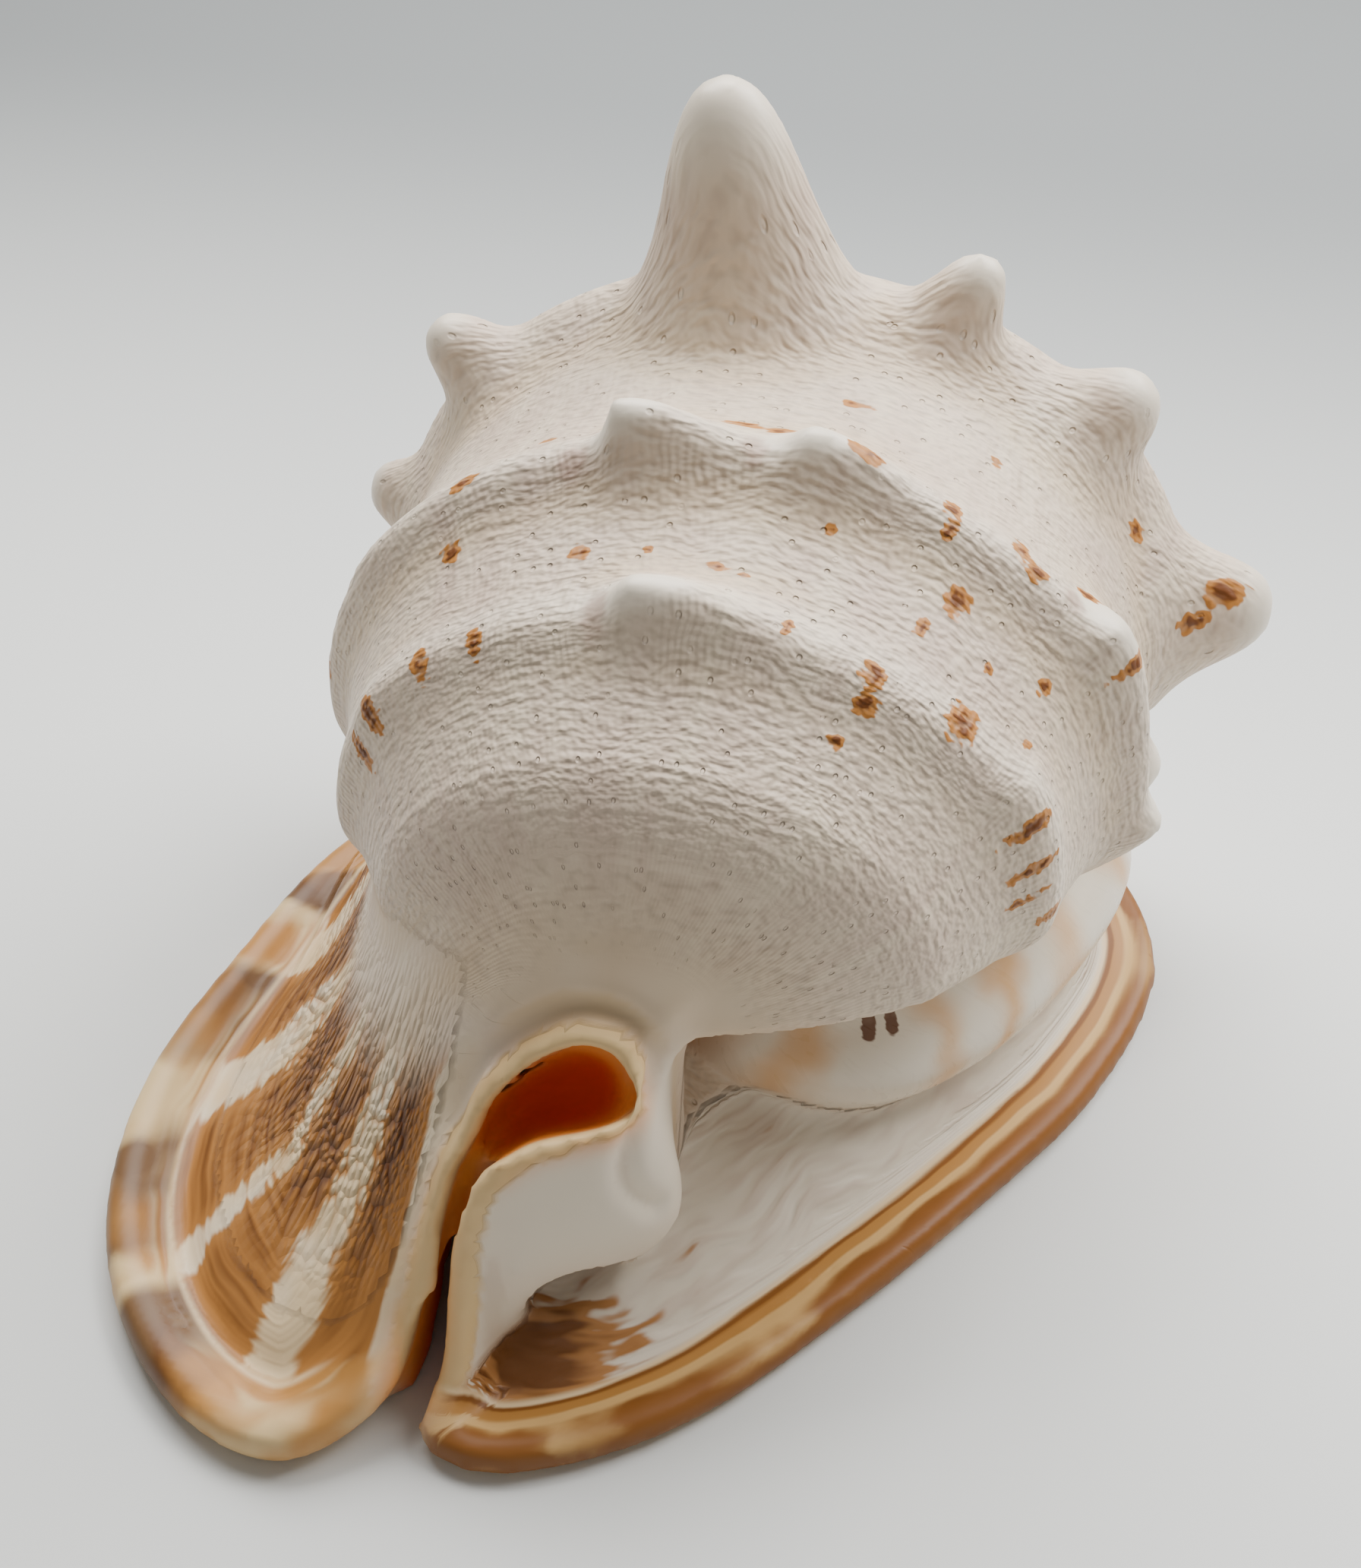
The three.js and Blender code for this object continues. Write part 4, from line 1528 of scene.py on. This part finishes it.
@dataclass
class HelmetShell:
    """The whole shell, grown together as one closed skin."""

    whorl: Whorl = Whorl()
    flanges: Flanges = Flanges()
    hollow: Hollow = Hollow()
    voxel: float = 1.9
    neck_fold: tuple[Triple, ...] = (
        (6.5, -63.5, 76), (5.5, -67, 71), (5.5, -69, 63), (8, -68, 56), (11, -65.5, 50),
    )

    def grow(self) -> bpy.types.Mesh:
        """The forms grown together, with the aperture cut in and the base made flat.

        Returns:
            A mesh in millimetres about the coil axis.
        """
        form = Form()
        self.whorl.grow(form)
        self.flanges.grow(form)
        self.hollow.line(form)
        skin = shaped(form.mesh("forms"), "REMESH", {"mode": "VOXEL", "voxel_size": self.voxel})
        cutter = Form()
        self.hollow.grow(cutter)
        spaces = shaped(cutter.mesh("spaces"), "REMESH", {"mode": "VOXEL", "voxel_size": self.voxel})
        skin = cut_away(skin, spaces)
        base = Form()
        base.add_block((-200, -200, -40), (200, 200, 0))
        skin = cut_away(skin, base.mesh("base"))
        return shaped(skin, "REMESH", {"mode": "VOXEL", "voxel_size": self.voxel})

    def settle(self, mesh: bpy.types.Mesh) -> Skin:
        """Blends the forms into one another.

        Args:
            mesh: The grown mesh.

        Returns:
            The skin, ready to be marked.
        """
        skin = Skin(mesh)
        skin.relax(2, 0.5)
        p = skin.points
        canal = np.exp(-(((p[:, 0] + 15) / 30) ** 2) - ((p[:, 1] + 75) / 35) ** 2)
        open_work = (1 - np.clip(canal * 1.6, 0, 1)) * ease(p[:, 2], 2, 12)
        feet = 0.35 + 0.65 * np.exp(-(((p[:, 1] - 100) / 22) ** 2))
        skin.fill_creases(20, 0.6 * open_work * feet)
        skin.relax(2, 0.5)
        self.dish(skin)
        skin.points[:, 2] = np.maximum(skin.points[:, 2], 0.0)
        return skin

    def dish(self, skin: Skin) -> None:
        """Hollows the flanges inside their rims, and cuts the folds by the canal's mouth.

        Args:
            skin: The skin to shape, in millimetres about the coil axis.
        """
        ends = np.linspace(0, 1, 900)
        rims = [self.flanges.lip_edge[:-1], self.flanges.shield_edge]
        _, away = nearest(np.vstack([GrowthLine(rim).at(ends) for rim in rims]), skin.points)
        up = ease(skin.normals()[:, 2], 0.3, 0.7)
        low = 1 - ease(skin.points[:, 2], 30, 48)
        swell = 0.9 * np.exp(-(((away - 6.5) / 3.0) ** 2)) - 1.9 * np.exp(-(((away - 14.5) / 4.0) ** 2))
        skin.points[:, 2] += swell * up * low
        _, gap = nearest(GrowthLine(self.hollow.mouth[:7]).at(ends), skin.points)
        behind = np.exp(-(((gap - 6.0) / 3.2) ** 2)) * ease(skin.points[:, 2], 58, 68)
        outer = ease(skin.points[:, 1], -64, -58) + ease(-skin.points[:, 0], 26, 32)
        skin.points -= skin.normals() * (2.6 * behind * np.clip(outer, 0, 1))[:, None]
        _, gap = nearest(GrowthLine(self.neck_fold).at(ends), skin.points)
        skin.points -= skin.normals() * (1.8 * np.exp(-((gap / 2.8) ** 2)))[:, None]

    def piece(self) -> bpy.types.Object:
        """Makes the finished piece in the frame.

        Returns:
            The piece.
        """
        skin = self.settle(self.grow())
        marks = Surveyor(self.whorl, self.flanges, self.hollow).survey(skin)
        skin.points = (skin.points + np.array(TO_FRAME)) * MM
        skin.write()
        mesh = skin.mesh
        mesh.name = "shell_skin"
        mesh.shade_smooth()
        for mark, values in marks.items():
            layer = mesh.attributes.new(mark.value, "FLOAT_VECTOR", "POINT")
            layer.data.foreach_set("vector", values.astype(np.float32).ravel())
        mesh.materials.clear()
        mesh.materials.append(ShellFinish().make())
        shell = bpy.data.objects.new("shell_skin", mesh)
        bpy.context.scene.collection.objects.link(shell)
        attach(shell, "root")
        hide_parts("shell")
        LOG.info("%s: %d faces", shell.name, len(mesh.polygons))
        return shell


@dataclass(frozen=True)
class FloorFinishWithPaintedShade:
    """A pale plain floor with painted shade that turns it greyer behind the shell."""

    near: tuple[float, float, float, float] = (0.69, 0.695, 0.67, 1.0)
    # The far colour is painted shade, standing in for light falling off behind the shell.
    far: tuple[float, float, float, float] = (0.21, 0.22, 0.22, 1.0)
    roughness: float = 0.6

    def make(self) -> bpy.types.Material:
        """Builds the floor's material.

        Returns:
            The material.
        """
        paint = Paint("pale_floor_painted_shade")
        coords = paint.node("ShaderNodeTexCoord", {}, {}).outputs["Object"]
        parts = paint.node("ShaderNodeSeparateXYZ", {}, {0: coords})
        # Painted shade: the floor darkens towards the back.
        shade = paint.mix(Value(paint, parts.outputs[1]).ease(0.0, 0.55), self.near, self.far)
        paint.feed(paint.shader.inputs["Base Color"], shade)
        paint.shader.inputs["Roughness"].default_value = self.roughness
        return paint.material


@dataclass(frozen=True)
class Studio:
    """A pale floor, soft light and the camera."""

    azimuth: float = 14.46
    elevation: float = 43.5
    place: Triple = (0.07702, -0.30072, 0.38696)
    lens: float = 44.12
    # Name, place, side in metres and power in watts of each window.
    windows: tuple[tuple[str, Triple, float, float], ...] = (
        ("right_window", (0.5, 0.56, 0.86), 0.8, 23.0),
        ("left_window", (-0.32, 0.6, 0.96), 0.8, 21.0),
    )
    room_grey: tuple[float, float, float, float] = (0.87, 0.87, 0.85, 1.0)
    room_strength: float = 0.29

    def floor(self) -> None:
        """A wide pale floor."""
        form = bmesh.new()
        bmesh.ops.create_grid(form, x_segments=1, y_segments=1, size=3.0)
        bmesh.ops.translate(form, verts=form.verts, vec=Vector((0.0, 0.0, -0.0002)))
        mesh = bpy.data.meshes.new("floor")
        form.to_mesh(mesh)
        form.free()
        ground = bpy.data.objects.new("floor", mesh)
        bpy.context.scene.collection.objects.link(ground)
        mesh.materials.append(FloorFinishWithPaintedShade().make())

    def light(self, name: str, place: Triple, size: float, power: float) -> None:
        """A soft square lamp that faces the shell.

        Args:
            name: Its name.
            place: Where it hangs.
            size: Its side in metres.
            power: Its power in watts.
        """
        lamp = bpy.data.lights.new(name, "AREA")
        lamp.size = size
        lamp.energy = power
        holder = bpy.data.objects.new(name, lamp)
        holder.location = place
        aim = Vector((0.0, 0.0, 0.08)) - Vector(place)
        holder.rotation_euler = aim.to_track_quat("-Z", "Y").to_euler()
        bpy.context.scene.collection.objects.link(holder)

    def lamps(self) -> None:
        """Two soft window lights from the upper back, and a grey room."""
        for name, place, size, power in self.windows:
            self.light(name, place, size, power)
        world = bpy.data.worlds.new("room")
        world.use_nodes = True
        sky = world.node_tree.nodes["Background"]
        sky.inputs["Color"].default_value = self.room_grey
        sky.inputs["Strength"].default_value = self.room_strength
        bpy.context.scene.world = world

    def camera(self) -> None:
        """The camera, where the photograph was taken from."""
        eye = bpy.data.cameras.new("camera")
        eye.sensor_width = 36.0
        eye.lens = self.lens
        holder = bpy.data.objects.new("camera", eye)
        holder.location = self.place
        holder.rotation_euler = (math.radians(90 - self.elevation), 0.0, math.radians(self.azimuth))
        bpy.context.scene.collection.objects.link(holder)
        bpy.context.scene.camera = holder


def main() -> None:
    """Builds the shell, its floor, its light and the camera."""
    logging.basicConfig(level=logging.INFO)
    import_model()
    HelmetShell().piece()
    studio = Studio()
    studio.floor()
    studio.lamps()
    studio.camera()


if __name__ == "__main__":
    main()
